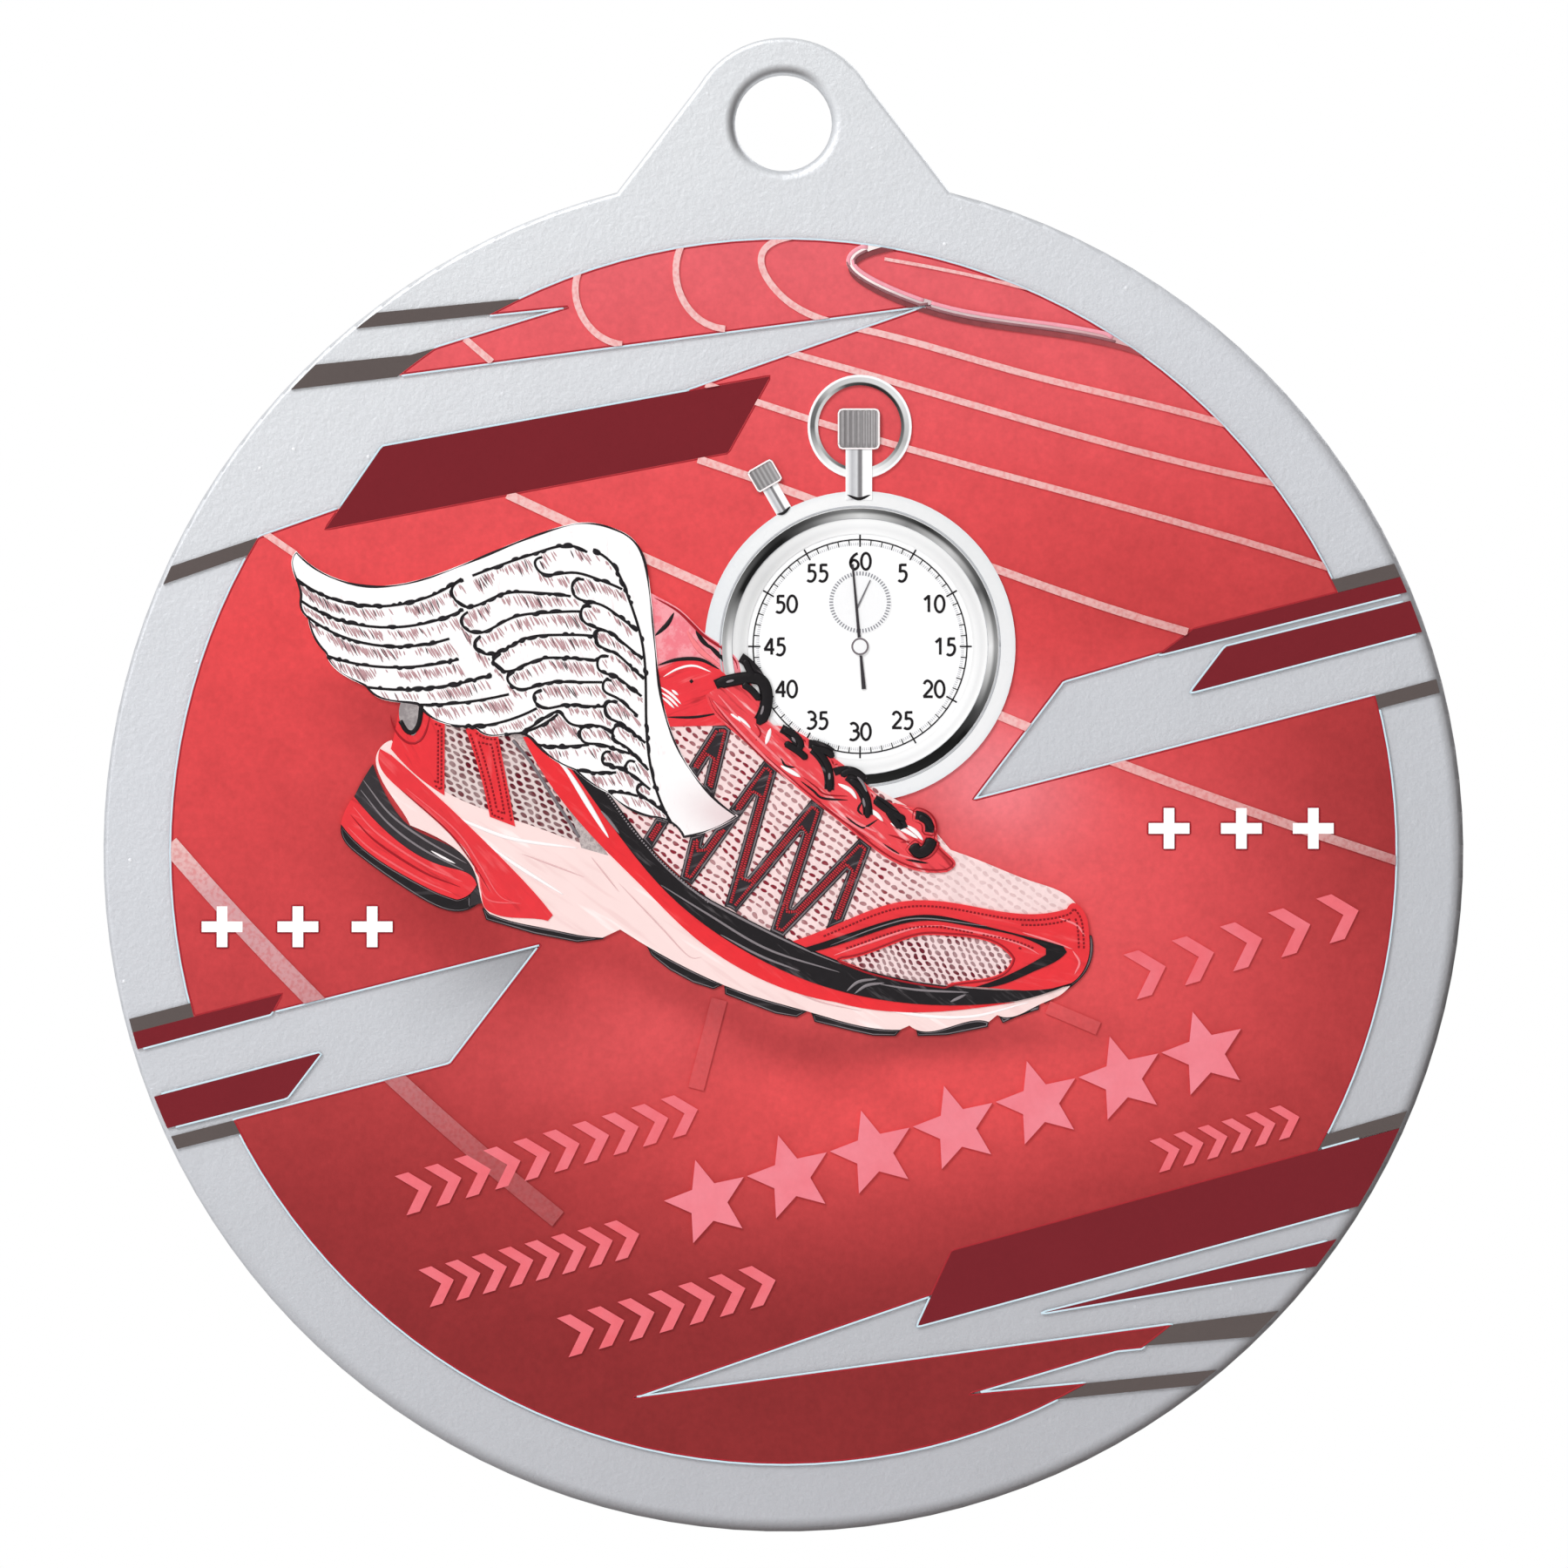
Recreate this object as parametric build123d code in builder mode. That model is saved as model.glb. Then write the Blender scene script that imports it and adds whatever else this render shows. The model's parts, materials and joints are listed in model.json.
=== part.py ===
from build123d import *
import os
from math import cos, radians, sin

# A sports finisher medal: a stamped steel blank with a hanging tab, and a picture of a winged running
# shoe and a stopwatch built up on its front face from raised colour films.
#
# Frame: the blank stands upright, its front face looks along -Y and its tab points along +Z. The origin
# is the centre of the disc on the flat back face. Outlines are (x, z) in millimetres, seen from the
# front.

# ======================================================== driving dimensions

disc_radius = 35.0
blank_thickness = 3.0
edge_radius = 0.25
flat_radius = disc_radius - edge_radius

tab_radius = 5.1
tab_center = (0, 36.8)
tab_flank = [(8.6, 33.9), (4.0, 39.9)]
hole_radius = 2.5
hole_center = (0, 37.54)
hole_edge_radius = 0.5

field_radius = 31.5
field_film = 0.15
first_relief = 0.10
relief_step = 0.04
line_film = 0.02

field_front = blank_thickness + field_film
relief = [first_relief + relief_step * level for level in range(5)]
dial_front = field_front + relief[0]
wing_front = field_front + relief[3]

text_tilt = 16.6

plus_size = 2.1
plus_arm = 0.55

watch_center = (3.94, 10.56)
case_radius = 8.0
bezel_outer_radius = 7.1
bezel_inner_radius = 6.6
dial_radius = 5.8
minute_radius = 5.5
numeral_radius = 4.38
numeral_height = 0.84
numeral_line = 0.135
sub_dial_center = (3.94, 12.84)
sub_dial_radius = 1.64
hub_radius = 0.46
hub_height = 5 * line_film
second_hand_height = 4 * line_film
sub_hand_height = 3 * line_film
second_hand_angle = -5.2
sub_hand_angle = 25

crown_knob_center = (3.88, 21.75)
crown_knob_size = (2.16, 2.1)
crown_knob_corner = 0.25
crown_stem_center = (3.88, 19.4)
crown_stem_size = (1.36, 2.6)
bow_center = (3.92, 21.86)
bow_outer_radius = 2.68
bow_inner_radius = 2.14
pusher_turn = 30
pusher_knob_center = (-0.96, 19.34)
pusher_knob_size = (1.45, 1.25)
pusher_knob_corner = 0.15
pusher_stem_center = (-0.3, 18.1)
pusher_stem_size = (0.86, 1.9)

feather_line = 0.13
lane_width = 0.34


# ======================================================== drawing helpers


def facing(depth):
    """The drawing plane at that distance in front of the back face, seen from the front."""
    return Plane.XZ.offset(depth)


def distance(start, end):
    """The straight distance between two points."""
    return ((end[0] - start[0]) ** 2 + (end[1] - start[1]) ** 2) ** 0.5


def along(start, end, share, lift=0.0):
    """The point at a share of the way from start to end, lifted to the left of that way."""
    run = end[0] - start[0]
    rise = end[1] - start[1]
    length = distance(start, end)
    across = start[0] + share * run - lift * rise / length
    up = start[1] + share * rise + lift * run / length
    return (across, up)


def around(center, radius, degrees):
    """The point on a circle, with the angle counted clockwise from twelve o'clock."""
    return (center[0] + radius * sin(radians(degrees)), center[1] + radius * cos(radians(degrees)))


def patch(*stretches):
    """A closed face. Each stretch of points carries the border on from where the last one ended: one
    new point makes a straight line, more make a smooth curve, and a straight line closes the border."""
    start = stretches[0][0]
    with BuildSketch() as face:
        with BuildLine():
            here = None
            for stretch in stretches:
                points = stretch if here is None else [here, *stretch]
                if len(points) == 2:
                    Line(*points)
                elif len(points) > 2:
                    Spline(*points)
                here = points[-1]
            if here != start:
                Line(here, start)
        make_face()
    return face.sketch


def stroke(points, width):
    """A band of one width along a smooth curve through the points, or straight between two of them."""
    with BuildSketch() as band:
        with BuildLine():
            if len(points) == 2:
                Line(*points)
            else:
                Spline(*points)
        trace(line_width=width)
    return band.sketch


def cut_by(*pieces):
    """Take the space of finished pieces out of the piece being built."""
    for piece in pieces:
        add(piece.part, mode=Mode.SUBTRACT)


# ======================================================== the blank


def hole_rims(blank):
    """The edges where the hanging hole meets the blank's two faces."""
    circles = blank.edges().filter_by(GeomType.CIRCLE)
    return circles.filter_by(lambda edge: abs(edge.radius - hole_radius) < 0.01)


far_tab_flank = [(-x, z) for x, z in reversed(tab_flank)]

with BuildPart() as medal_blank:
    with BuildSketch(facing(0)):
        Circle(disc_radius)
        with Locations(tab_center):
            Circle(tab_radius)
        Polygon(*tab_flank, *far_tab_flank, align=None)
        with Locations(hole_center):
            Circle(hole_radius, mode=Mode.SUBTRACT)
    extrude(amount=blank_thickness)
    fillet(medal_blank.edges().filter_by(Plane.XZ) - hole_rims(medal_blank), edge_radius)
    fillet(hole_rims(medal_blank), hole_edge_radius)

# ======================================================== ground films on the metal

maroon_corners = [
    [(-20.64, 20.84), (-0.68, 24.46), (-2.86, 20.54), (-23.56, 16.6)],
    [(21.1, 11.44), (34.6, 14.87), (34.6, 13.99), (19.36, 10.14)],
    [(22.74, 10.54), (34.6, 13.5), (34.6, 11.77), (20.96, 8.2)],
    [(-34.6, -9.59), (-25.8, -7.32), (-26.36, -8.34), (-34.6, -10.53)],
    [(-34.6, -13.19), (-23.78, -10.34), (-25.54, -12.66), (-34.6, -14.97)],
    [(8.68, -20.55), (32.6, -13.98), (32.6, -17.42), (6.9, -24.41)],
    [(13.3, -23.74), (30.6, -19.4), (30.6, -20.79)],
]

with BuildPart() as maroon_bars:
    with BuildSketch(facing(blank_thickness)):
        for corners in maroon_corners:
            Polygon(*corners, align=None)
        Circle(flat_radius, mode=Mode.INTERSECT)
    extrude(amount=field_film)

# The grey bars lie on the bare metal around the red field and end on its edge.
grey_corners = [
    [(-21.3, 27.7), (-12.7, 28.54), (-14.4, 27.72), (-22.36, 26.88)],
    [(-24.3, 25.04), (-19.2, 25.56), (-17.4, 26.05), (-19.1, 24.53), (-25.7, 23.74)],
    [(-31.76, 14.6), (-26.3, 16.41), (-26.84, 15.52), (-32.2, 13.66)],
    [(27.47, 13.8), (31.64, 14.88), (31.94, 14.2), (27.73, 13.14)],
    [(29.69, 7.83), (33.8, 8.94), (34.0, 8.24), (29.87, 7.16)],
    [(-33.86, -8.66), (-29.77, -7.6), (-29.59, -8.3), (-33.7, -9.36)],
    [(-31.7, -14.7), (-27.53, -13.63), (-27.23, -14.3), (-31.36, -15.34)],
    [(27.19, -14.76), (32.3, -13.28), (32.0, -14.14), (26.78, -15.47)],
    [(19.11, -24.45), (25.82, -23.58), (24.5, -24.93), (17.7, -25.49)],
    [(14.75, -27.44), (22.66, -26.62), (21.6, -27.42), (13.18, -28.26)],
]

with BuildPart() as grey_bars:
    with BuildSketch(facing(blank_thickness)):
        for corners in grey_corners:
            Polygon(*corners, align=None)
        Circle(flat_radius, mode=Mode.INTERSECT)
        Circle(field_radius, mode=Mode.SUBTRACT)
    extrude(amount=field_film)
    cut_by(maroon_bars)

# Slashes of bare metal across the red field; where one follows a maroon bar, its border runs under it.
window_corners = [
    [(-11.0, 28.04), (-22.36, 26.88), (-24.3, 25.0), (-18.6, 25.7)],
    [
        (7.7, 28.16), (-25.7, 23.74), (-31.0, 19.0), (-27.06, 16.16),
        (-21.9, 17.99), (-18.0, 20.0), (-7.0, 22.99),
    ],
    [(9.76, 2.66), (14.4, 8.78), (20.3, 10.5), (33.0, 13.9), (34.0, 8.97), (30.5, 8.06)],
    [(-34.0, -9.95), (-27.0, -8.4), (-12.46, -4.74), (-17.16, -10.92), (-31.7, -14.7)],
    [(-7.79, -28.12), (8.6, -22.48), (31.0, -16.5), (31.0, -23.0), (22.0, -24.06)],
    [(9.56, -27.91), (17.14, -25.67), (24.5, -24.93), (22.66, -26.62), (15.54, -27.36)],
]

with BuildPart() as red_field:
    with BuildSketch(facing(blank_thickness)):
        Circle(field_radius)
        for corners in window_corners:
            Polygon(*corners, align=None, mode=Mode.SUBTRACT)
    extrude(amount=field_film)
    cut_by(maroon_bars)

field_face = red_field.faces().filter_by(Plane.XZ).sort_by(Axis.Y)[0]

# ======================================================== the wing

# The wing's border: its top edge, its plain leading edge on the right, and one stretch for each feather
# tip from the lower right around to the far left.
wing_border = [
    [(-25.06, 15.46), (-23.24, 14.16), (-20.84, 13.68), (-16.88, 14.64), (-13.4, 16.08), (-10.76, 16.9)],
    [(-9.6, 16.9), (-8.6, 16.6)],
    [
        (-7.3, 15.5), (-6.88, 13.72), (-6.6, 10.96), (-6.22, 7.84),
        (-5.56, 5.68), (-4.18, 3.46), (-2.32, 1.84),
    ],
    [(-3.3, 1.28), (-5.14, 0.7)],
    [(-5.56, 1.3), (-6.8, 1.75)],
    [(-7.6, 2.0), (-9.0, 3.0)],
    [(-9.6, 3.3), (-10.72, 4.18)],
    [(-11.8, 4.7), (-12.9, 5.7)],
    [(-13.6, 6.05), (-14.6, 5.95), (-15.8, 6.3)],
    [(-16.5, 6.4), (-17.5, 6.6), (-18.8, 7.56)],
    [(-19.6, 7.66), (-20.7, 7.86), (-21.5, 8.5)],
    [(-22.6, 9.06), (-23.24, 9.6), (-23.54, 10.2)],
    [(-24.1, 10.9), (-24.46, 12.0)],
    [(-24.84, 12.48), (-24.88, 12.96)],
    [(-25.1, 14.04), (-25.3, 15.0), (-25.06, 15.46)],
]
wing_outline = patch(*wing_border)

with BuildPart() as wing:
    with BuildSketch(facing(field_front)):
        add(wing_outline)
    extrude(amount=relief[3])

# Long flight feathers: (left end, right end, sag of the line between them).
flight_feathers = [
    ((-25.05, 14.04), (-16.58, 14.04), -1.4),
    ((-24.8, 12.9), (-16.52, 12.42), -1.1),
    ((-24.5, 12.1), (-17.18, 10.96), -0.9),
    ((-23.48, 10.08), (-16.7, 9.9), -0.5),
    ((-21.38, 8.46), (-15.08, 9.08), -0.35),
    ((-18.8, 7.56), (-14.12, 8.1), -0.15),
    ((-17.1, 6.5), (-12.68, 7.38), -0.35),
    ((-14.3, 6.02), (-11.6, 7.08), -0.25),
]

# Feathers with a round nose: (nose, root, height of the nose, arch of the lower edge).
middle_feathers = [
    ((-17.06, 13.35), (-10.94, 13.14), 1.3, 0.45),
    ((-16.58, 11.8), (-10.4, 12.36), 1.0, 0.35),
    ((-15.88, 10.65), (-9.8, 11.1), 0.85, 0.4),
    ((-14.92, 9.8), (-9.6, 9.84), 0.85, 0.35),
    ((-14.2, 8.9), (-9.32, 8.72), 0.8, 0.15),
    ((-12.85, 7.95), (-9.1, 7.46), 0.85, 0.1),
    ((-10.46, 6.2), (-7.9, 5.05), 0.8, 0.1),
    ((-9.3, 4.95), (-8.0, 4.25), 0.7, 0.0),
]

shoulder_feathers = [
    ((-12.78, 14.9), (-8.3, 13.5), 0.7, 0.3),
    ((-10.82, 13.85), (-7.5, 11.35), 0.9, 0.25),
    ((-10.36, 12.5), (-7.26, 9.9), 0.75, 0.2),
    ((-9.6, 11.3), (-7.2, 8.9), 0.7, 0.15),
    ((-9.5, 9.95), (-7.3, 8.0), 0.8, 0.15),
    ((-9.22, 8.75), (-7.5, 7.0), 0.6, 0.1),
    ((-9.1, 7.6), (-7.1, 5.6), 0.8, 0.1),
    ((-8.68, 6.4), (-6.95, 4.2), 0.7, 0.1),
    ((-8.02, 4.6), (-6.85, 3.2), 0.6, 0.05),
    ((-7.48, 3.4), (-6.0, 2.0), 0.5, 0.0),
]

wing_folds = [
    [(-16.0, 14.2), (-14.24, 14.86), (-12.68, 15.38), (-11.0, 15.74), (-10.1, 15.4)],
    [(-9.8, 15.5), (-8.8, 14.8), (-8.08, 13.36), (-7.24, 10.6), (-7.06, 6.64), (-6.7, 3.76), (-5.5, 1.1)],
    [(-13.6, 6.0), (-12.6, 5.5), (-11.5, 5.4), (-10.0, 5.5)],
    [(-10.64, 4.2), (-9.6, 4.06), (-8.6, 4.08)],
    [(-9.0, 3.08), (-8.3, 3.04), (-7.48, 2.86)],
    [(-13.28, 6.3), (-12.44, 6.78), (-11.5, 7.15), (-11.1, 6.7), (-9.4, 6.45), (-8.7, 5.9)],
]


def flight_line(left, right, sag):
    """The lower edge of a long feather, sagging between its ends."""
    return [left, along(left, right, 0.25, 0.8 * sag), along(left, right, 0.55, sag), right]


def nosed_line(nose, root, height, arch):
    """The edge of a round-nosed feather: around its nose, then along its lower edge to the root."""
    turn = 0.4 * height / distance(nose, root)
    return [
        along(nose, root, turn, 0.5 * height),
        nose,
        along(nose, root, turn, -0.5 * height),
        along(nose, root, 0.4, arch - 0.4 * height),
        along(nose, root, 0.7, arch - 0.25 * height),
        root,
    ]


feather_edges = [flight_line(*feather) for feather in flight_feathers]
feather_edges += [nosed_line(*feather) for feather in middle_feathers + shoulder_feathers]
feather_edges += wing_folds

with BuildPart() as feather_lines:
    with BuildSketch(facing(wing_front)):
        for edge_points in feather_edges:
            add(stroke(edge_points, feather_line))
        add(wing_outline, mode=Mode.INTERSECT)
    extrude(amount=line_film)

# ======================================================== the running shoe, from its top pieces down

lace_runs = [
    ([(-3.5, 8.6), (-2.4, 8.95), (-1.2, 9.0)], 0.5),
    ([(-2.2, 10.0), (-1.6, 9.5), (-1.1, 8.7), (-0.95, 7.8), (-1.3, 6.75)], 0.5),
    ([(-0.1, 6.35), (0.5, 5.9), (0.9, 5.3)], 0.45),
    ([(1.3, 5.55), (2.0, 5.4), (2.5, 5.1)], 0.45),
    ([(1.5, 5.3), (2.2, 4.4), (2.35, 3.2)], 0.5),
    ([(2.6, 4.1), (3.6, 4.15), (4.2, 3.7)], 0.4),
    ([(3.3, 3.9), (4.1, 3.0), (4.35, 1.9)], 0.5),
    ([(4.7, 2.7), (5.5, 2.2), (6.2, 1.2)], 0.45),
    ([(6.8, 1.9), (7.4, 1.6), (7.5, 1.0)], 0.45),
    ([(6.6, 0.3), (7.2, 0.0), (7.65, 0.5)], 0.5),
]

with BuildPart() as laces:
    with BuildSketch(facing(field_front)):
        for run_points, lace_width in lace_runs:
            add(stroke(run_points, lace_width))
    extrude(amount=relief[4])

with BuildPart() as eyestay:
    with BuildSketch(facing(field_front)):
        add(
            patch(
                [
                    (-4.0, 8.05), (-3.7, 7.3), (-2.53, 6.13), (0.67, 3.33),
                    (3.33, 1.2), (6.27, -0.8), (8.4, -1.05),
                ],
                [(8.85, -0.6), (7.95, 0.5), (7.9, 1.3), (6.7, 2.25), (5.6, 2.5)],
                [(5.0, 2.8), (4.0, 3.73), (2.27, 5.07), (0.4, 6.3), (-0.5, 6.5)],
                [(-0.9, 7.0), (-1.3, 8.0), (-2.0, 8.9), (-3.2, 8.6)],
            )
        )
    extrude(amount=relief[3])
    cut_by(laces)

with BuildPart() as ankle_flap:
    with BuildSketch(facing(field_front)):
        add(
            patch(
                [(-7.0, 9.2), (-5.6, 9.75), (-4.7, 9.95), (-3.9, 9.8), (-3.2, 9.3), (-2.4, 8.7)],
                [(-1.4, 7.8)],
                [(-3.0, 6.5)],
                [(-7.0, 6.4)],
            )
        )
    extrude(amount=relief[2])
    cut_by(laces, eyestay, wing)

with BuildPart() as tongue:
    with BuildSketch(facing(field_front)):
        add(
            patch(
                [(-7.2, 13.5), (-6.04, 12.9), (-5.32, 12.46), (-4.0, 11.2), (-2.8, 10.36), (-2.3, 9.8)],
                [(-2.1, 8.8)],
                [(-6.9, 8.6)],
            )
        )
    extrude(amount=relief[1])
    cut_by(laces, eyestay, ankle_flap, wing)

with BuildPart() as toe_piping:
    with BuildSketch(facing(field_front)):
        add(
            patch(
                [(1.08, -4.94), (4.8, -3.72), (7.2, -3.24), (10.2, -3.78), (13.56, -4.62), (14.4, -4.86)],
                [(14.58, -5.16)],
                [(14.28, -5.46), (12.96, -6.12), (11.76, -6.66), (10.56, -6.98)],
                [(9.9, -6.95)],
                [(11.52, -6.36), (12.72, -5.76), (13.5, -5.3)],
                [(13.5, -4.98)],
                [(12.96, -4.68), (9.6, -3.84), (7.4, -3.54), (4.2, -4.32), (1.44, -5.16)],
            )
        )
    extrude(amount=relief[4])

with BuildPart() as lateral_rail:
    with BuildSketch(facing(field_front)):
        add(
            patch(
                [
                    (-11.6, 5.2), (-8.4, 0.76), (-6.0, -2.1), (-2.0, -5.1),
                    (1.33, -6.67), (6.0, -7.75), (12.0, -7.68),
                ],
                [(13.2, -7.38), (14.64, -6.86)],
                [(13.44, -7.08), (12.0, -7.14), (8.4, -6.9), (4.8, -6.24), (1.44, -5.04), (-3.73, -2.47)],
                [(-5.6, -1.07), (-7.12, 0.52), (-8.56, 2.44), (-10.4, 4.6)],
            )
        )
    extrude(amount=relief[3])
    cut_by(wing)

toe_window = patch(
    [(2.9, -5.56), (6.0, -4.62), (7.2, -4.3), (8.4, -4.32), (11.4, -5.1), (11.76, -5.52)],
    [(11.5, -6.0), (10.2, -6.54), (8.2, -6.95)],
    [(4.8, -6.3)],
)

with BuildPart() as toe_mesh:
    with BuildSketch(facing(field_front)):
        add(toe_window)
    extrude(amount=relief[1])
    cut_by(lateral_rail)

with BuildPart() as toe_overlay:
    with BuildSketch(facing(field_front)):
        add(
            patch(
                [(0.13, -4.7), (4.0, -3.2), (6.0, -2.58), (8.4, -2.58), (12.0, -3.18), (14.58, -2.94)],
                [
                    (14.94, -2.64), (15.48, -3.12), (15.72, -4.2),
                    (15.74, -5.16), (15.42, -6.12), (14.82, -6.75),
                ],
                [(13.2, -7.2)],
                [(5.0, -6.6)],
                [(2.0, -5.6)],
            )
        )
        add(toe_window, mode=Mode.SUBTRACT)
    extrude(amount=relief[3])
    cut_by(toe_piping, lateral_rail)

# Support webbing: each anchor on the lace rail is tied to two anchors on the side rail.
web_count = 4
web_width = 0.7
lace_anchors = [along((-2.9, 6.9), (4.3, 0.6), share / (web_count - 1)) for share in range(web_count)]
rail_anchors = [along((-7.3, -0.1), (1.9, -5.7), share / web_count) for share in range(web_count + 1)]

with BuildPart() as midfoot_cage:
    with BuildSketch(facing(field_front)):
        for index, anchor in enumerate(lace_anchors):
            for foot in rail_anchors[index : index + 2]:
                add(stroke([anchor, foot], web_width))
    extrude(amount=relief[2])
    cut_by(eyestay, ankle_flap, wing, lateral_rail, toe_overlay, toe_piping)

with BuildPart() as midsole_line:
    with BuildSketch(facing(field_front)):
        add(
            patch(
                [
                    (-13.4, 5.9), (-9.12, 0.04), (-7.33, -1.73),
                    (-4.67, -4.33), (-1.33, -6.47), (2.67, -7.73),
                ],
                [(6.0, -8.25), (9.0, -8.15), (11.9, -7.74)],
                [(6.0, -7.6), (1.33, -6.5), (-2.0, -4.9), (-6.0, -1.9), (-9.6, 2.6), (-12.0, 6.0)],
            )
        )
    extrude(amount=relief[2])
    cut_by(wing, lateral_rail)

with BuildPart() as forefoot_mesh:
    with BuildSketch(facing(field_front)):
        add(
            patch(
                [
                    (-9.4, 3.4), (-6.4, -0.2), (-3.7, -2.5), (1.44, -5.1),
                    (4.8, -6.3), (8.4, -7.0), (12.0, -7.2),
                ],
                [(14.0, -6.9)],
                [(15.4, -3.3)],
                [(14.64, -2.28), (12.72, -1.5), (10.32, -0.54), (8.6, 0.1)],
                [(7.0, 2.0)],
                [(-2.8, 7.5)],
                [(-7.5, 7.5)],
            )
        )
    extrude(amount=relief[1])
    cut_by(laces, eyestay, ankle_flap, tongue, wing, midfoot_cage)
    cut_by(lateral_rail, midsole_line, toe_overlay, toe_piping, toe_mesh)

with BuildPart() as heel_tab:
    with BuildSketch(facing(field_front)):
        add(
            patch(
                [(-19.5, 8.0), (-19.76, 6.88), (-19.38, 6.16), (-19.08, 5.98), (-18.8, 6.3), (-18.7, 7.9)],
            )
        )
    extrude(amount=relief[3])
    cut_by(wing)

with BuildPart() as heel_counter:
    with BuildSketch(facing(field_front)):
        add(
            patch(
                [(-19.8, 7.2), (-20.0, 6.1), (-20.2, 5.3)],
                [(-18.96, 4.0), (-17.44, 2.9)],
                [(-17.42, 7.4)],
                [(-18.6, 7.9)],
            )
        )
    extrude(amount=relief[2])
    cut_by(wing, heel_tab)

with BuildPart() as quarter_straps:
    with BuildSketch(facing(field_front)):
        add(
            patch(
                [(-16.5, 6.7), (-15.9, 5.0), (-15.1, 1.8)],
                [(-13.8, 1.3)],
                [(-14.3, 4.0), (-14.75, 6.3)],
            )
        )
    extrude(amount=relief[2])
    cut_by(wing)

with BuildPart() as collar_lining:
    with BuildSketch(facing(field_front)):
        add(
            patch(
                [(-14.2, 6.2), (-12.5, 4.4), (-11.2, 2.4), (-10.4, 0.2)],
                [(-9.0, -0.2)],
                [(-12.9, 6.2)],
            )
        )
    extrude(amount=relief[1])
    cut_by(wing, midsole_line)

with BuildPart() as midsole_wedge:
    with BuildSketch(facing(field_front)):
        add(
            patch(
                [
                    (-20.76, 5.3), (-20.82, 4.6), (-19.8, 3.28),
                    (-17.28, 1.06), (-16.32, 0.04), (-15.84, -1.04),
                ],
                [(-15.54, -2.12), (-15.3, -2.95), (-14.88, -3.2), (-13.8, -3.4), (-12.12, -3.56)],
                [(-11.86, -3.26)],
                [(-12.48, -2.48), (-13.8, -1.04), (-15.84, 1.0), (-18.0, 3.04), (-20.16, 4.96)],
            )
        )
    extrude(amount=relief[2])

with BuildPart() as midsole:
    with BuildSketch(facing(field_front)):
        add(
            patch(
                [
                    (-20.16, 5.74), (-20.6, 5.5), (-20.95, 4.9),
                    (-20.8, 4.0), (-20.28, 3.04), (-19.2, 1.36),
                ],
                [(-17.04, 0.28), (-16.08, -0.68), (-15.72, -1.6), (-15.42, -2.8), (-15.1, -3.2)],
                [(-13.8, -3.62), (-12.0, -3.98), (-10.2, -4.34), (-9.3, -4.42)],
                [(-8.4, -4.0)],
                [(-7.0, -4.87), (-4.67, -6.13), (-1.73, -7.36), (1.2, -8.2), (4.8, -9.1), (6.0, -9.16)],
                [(6.48, -8.94)],
                [(6.9, -9.18), (8.4, -9.06), (10.56, -8.76)],
                [(11.0, -8.4)],
                [(11.3, -8.5), (13.3, -7.8), (14.2, -7.4), (14.75, -6.9)],
                [(12.0, -7.3), (6.0, -7.5), (1.0, -6.3), (-4.0, -3.4), (-9.3, 0.3)],
                [
                    (-10.44, 0.46), (-12.0, 1.0), (-15.12, 2.08),
                    (-17.4, 3.1), (-18.96, 4.36), (-20.16, 5.74),
                ],
            )
        )
    extrude(amount=relief[1])
    cut_by(midsole_wedge, midsole_line, lateral_rail, quarter_straps, heel_counter, collar_lining)

with BuildPart() as collar_mesh:
    with BuildSketch(facing(field_front)):
        Polygon((-17.42, 6.9), (-16.3, 6.9), (-14.9, 1.6), (-17.44, 2.6), align=None)
        Polygon((-14.9, 6.5), (-13.9, 1.0), (-9.6, 0.0), (-13.2, 6.2), align=None)
    extrude(amount=relief[0])
    cut_by(wing, heel_counter, quarter_straps, collar_lining, midsole, midsole_line)

with BuildPart() as heel_cushion:
    with BuildSketch(facing(field_front)):
        add(
            patch(
                [(-22.1, 2.85), (-22.56, 2.08), (-22.76, 1.42)],
                [(-21.72, 0.28), (-18.96, -1.52), (-17.76, -2.12), (-16.8, -2.46)],
                [(-16.32, -2.3), (-15.78, -1.7)],
                [(-15.96, -1.34), (-17.28, -0.8), (-20.04, 0.7), (-21.24, 1.84), (-22.1, 2.85)],
            )
        )
    extrude(amount=relief[2])

with BuildPart() as heel_clip:
    with BuildSketch(facing(field_front)):
        add(
            patch(
                [
                    (-21.12, 4.5), (-20.52, 3.04), (-19.2, 1.3),
                    (-17.0, 0.2), (-15.5, -1.5), (-15.35, -2.6),
                ],
                [(-16.1, -2.8)],
                [(-16.1, -1.3)],
                [(-17.28, -0.9), (-20.04, 0.6), (-22.1, 2.8)],
                [(-21.6, 3.76), (-21.12, 4.5)],
            )
        )
    extrude(amount=relief[1])
    cut_by(midsole, midsole_wedge, heel_cushion)

# Corners of the rubber lugs under the sole, from the heel forward.
lugs = [
    [
        (-15.5, -2.9), (-15.3, -3.5), (-12.84, -4.22), (-10.6, -4.66),
        (-9.3, -4.5), (-8.9, -4.1), (-15.0, -2.9),
    ],
    [
        (-7.1, -4.7), (-6.8, -5.33), (-5.87, -6.07), (-4.67, -6.73),
        (-3.6, -7.07), (-3.0, -6.8), (-3.2, -6.4),
    ],
    [(-3.05, -6.9), (-3.0, -7.33), (-0.4, -8.33), (0.67, -8.51), (1.25, -8.2), (0.5, -7.8)],
    [(1.4, -8.2), (1.6, -8.75), (3.6, -9.24), (4.6, -9.46), (5.76, -9.48), (6.1, -9.1)],
    [(6.8, -9.0), (6.9, -9.48), (8.4, -9.44), (10.5, -9.02), (10.6, -8.6)],
    [(11.0, -8.3), (11.28, -8.82), (12.0, -8.5), (13.14, -8.12), (13.2, -7.7)],
]

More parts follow.
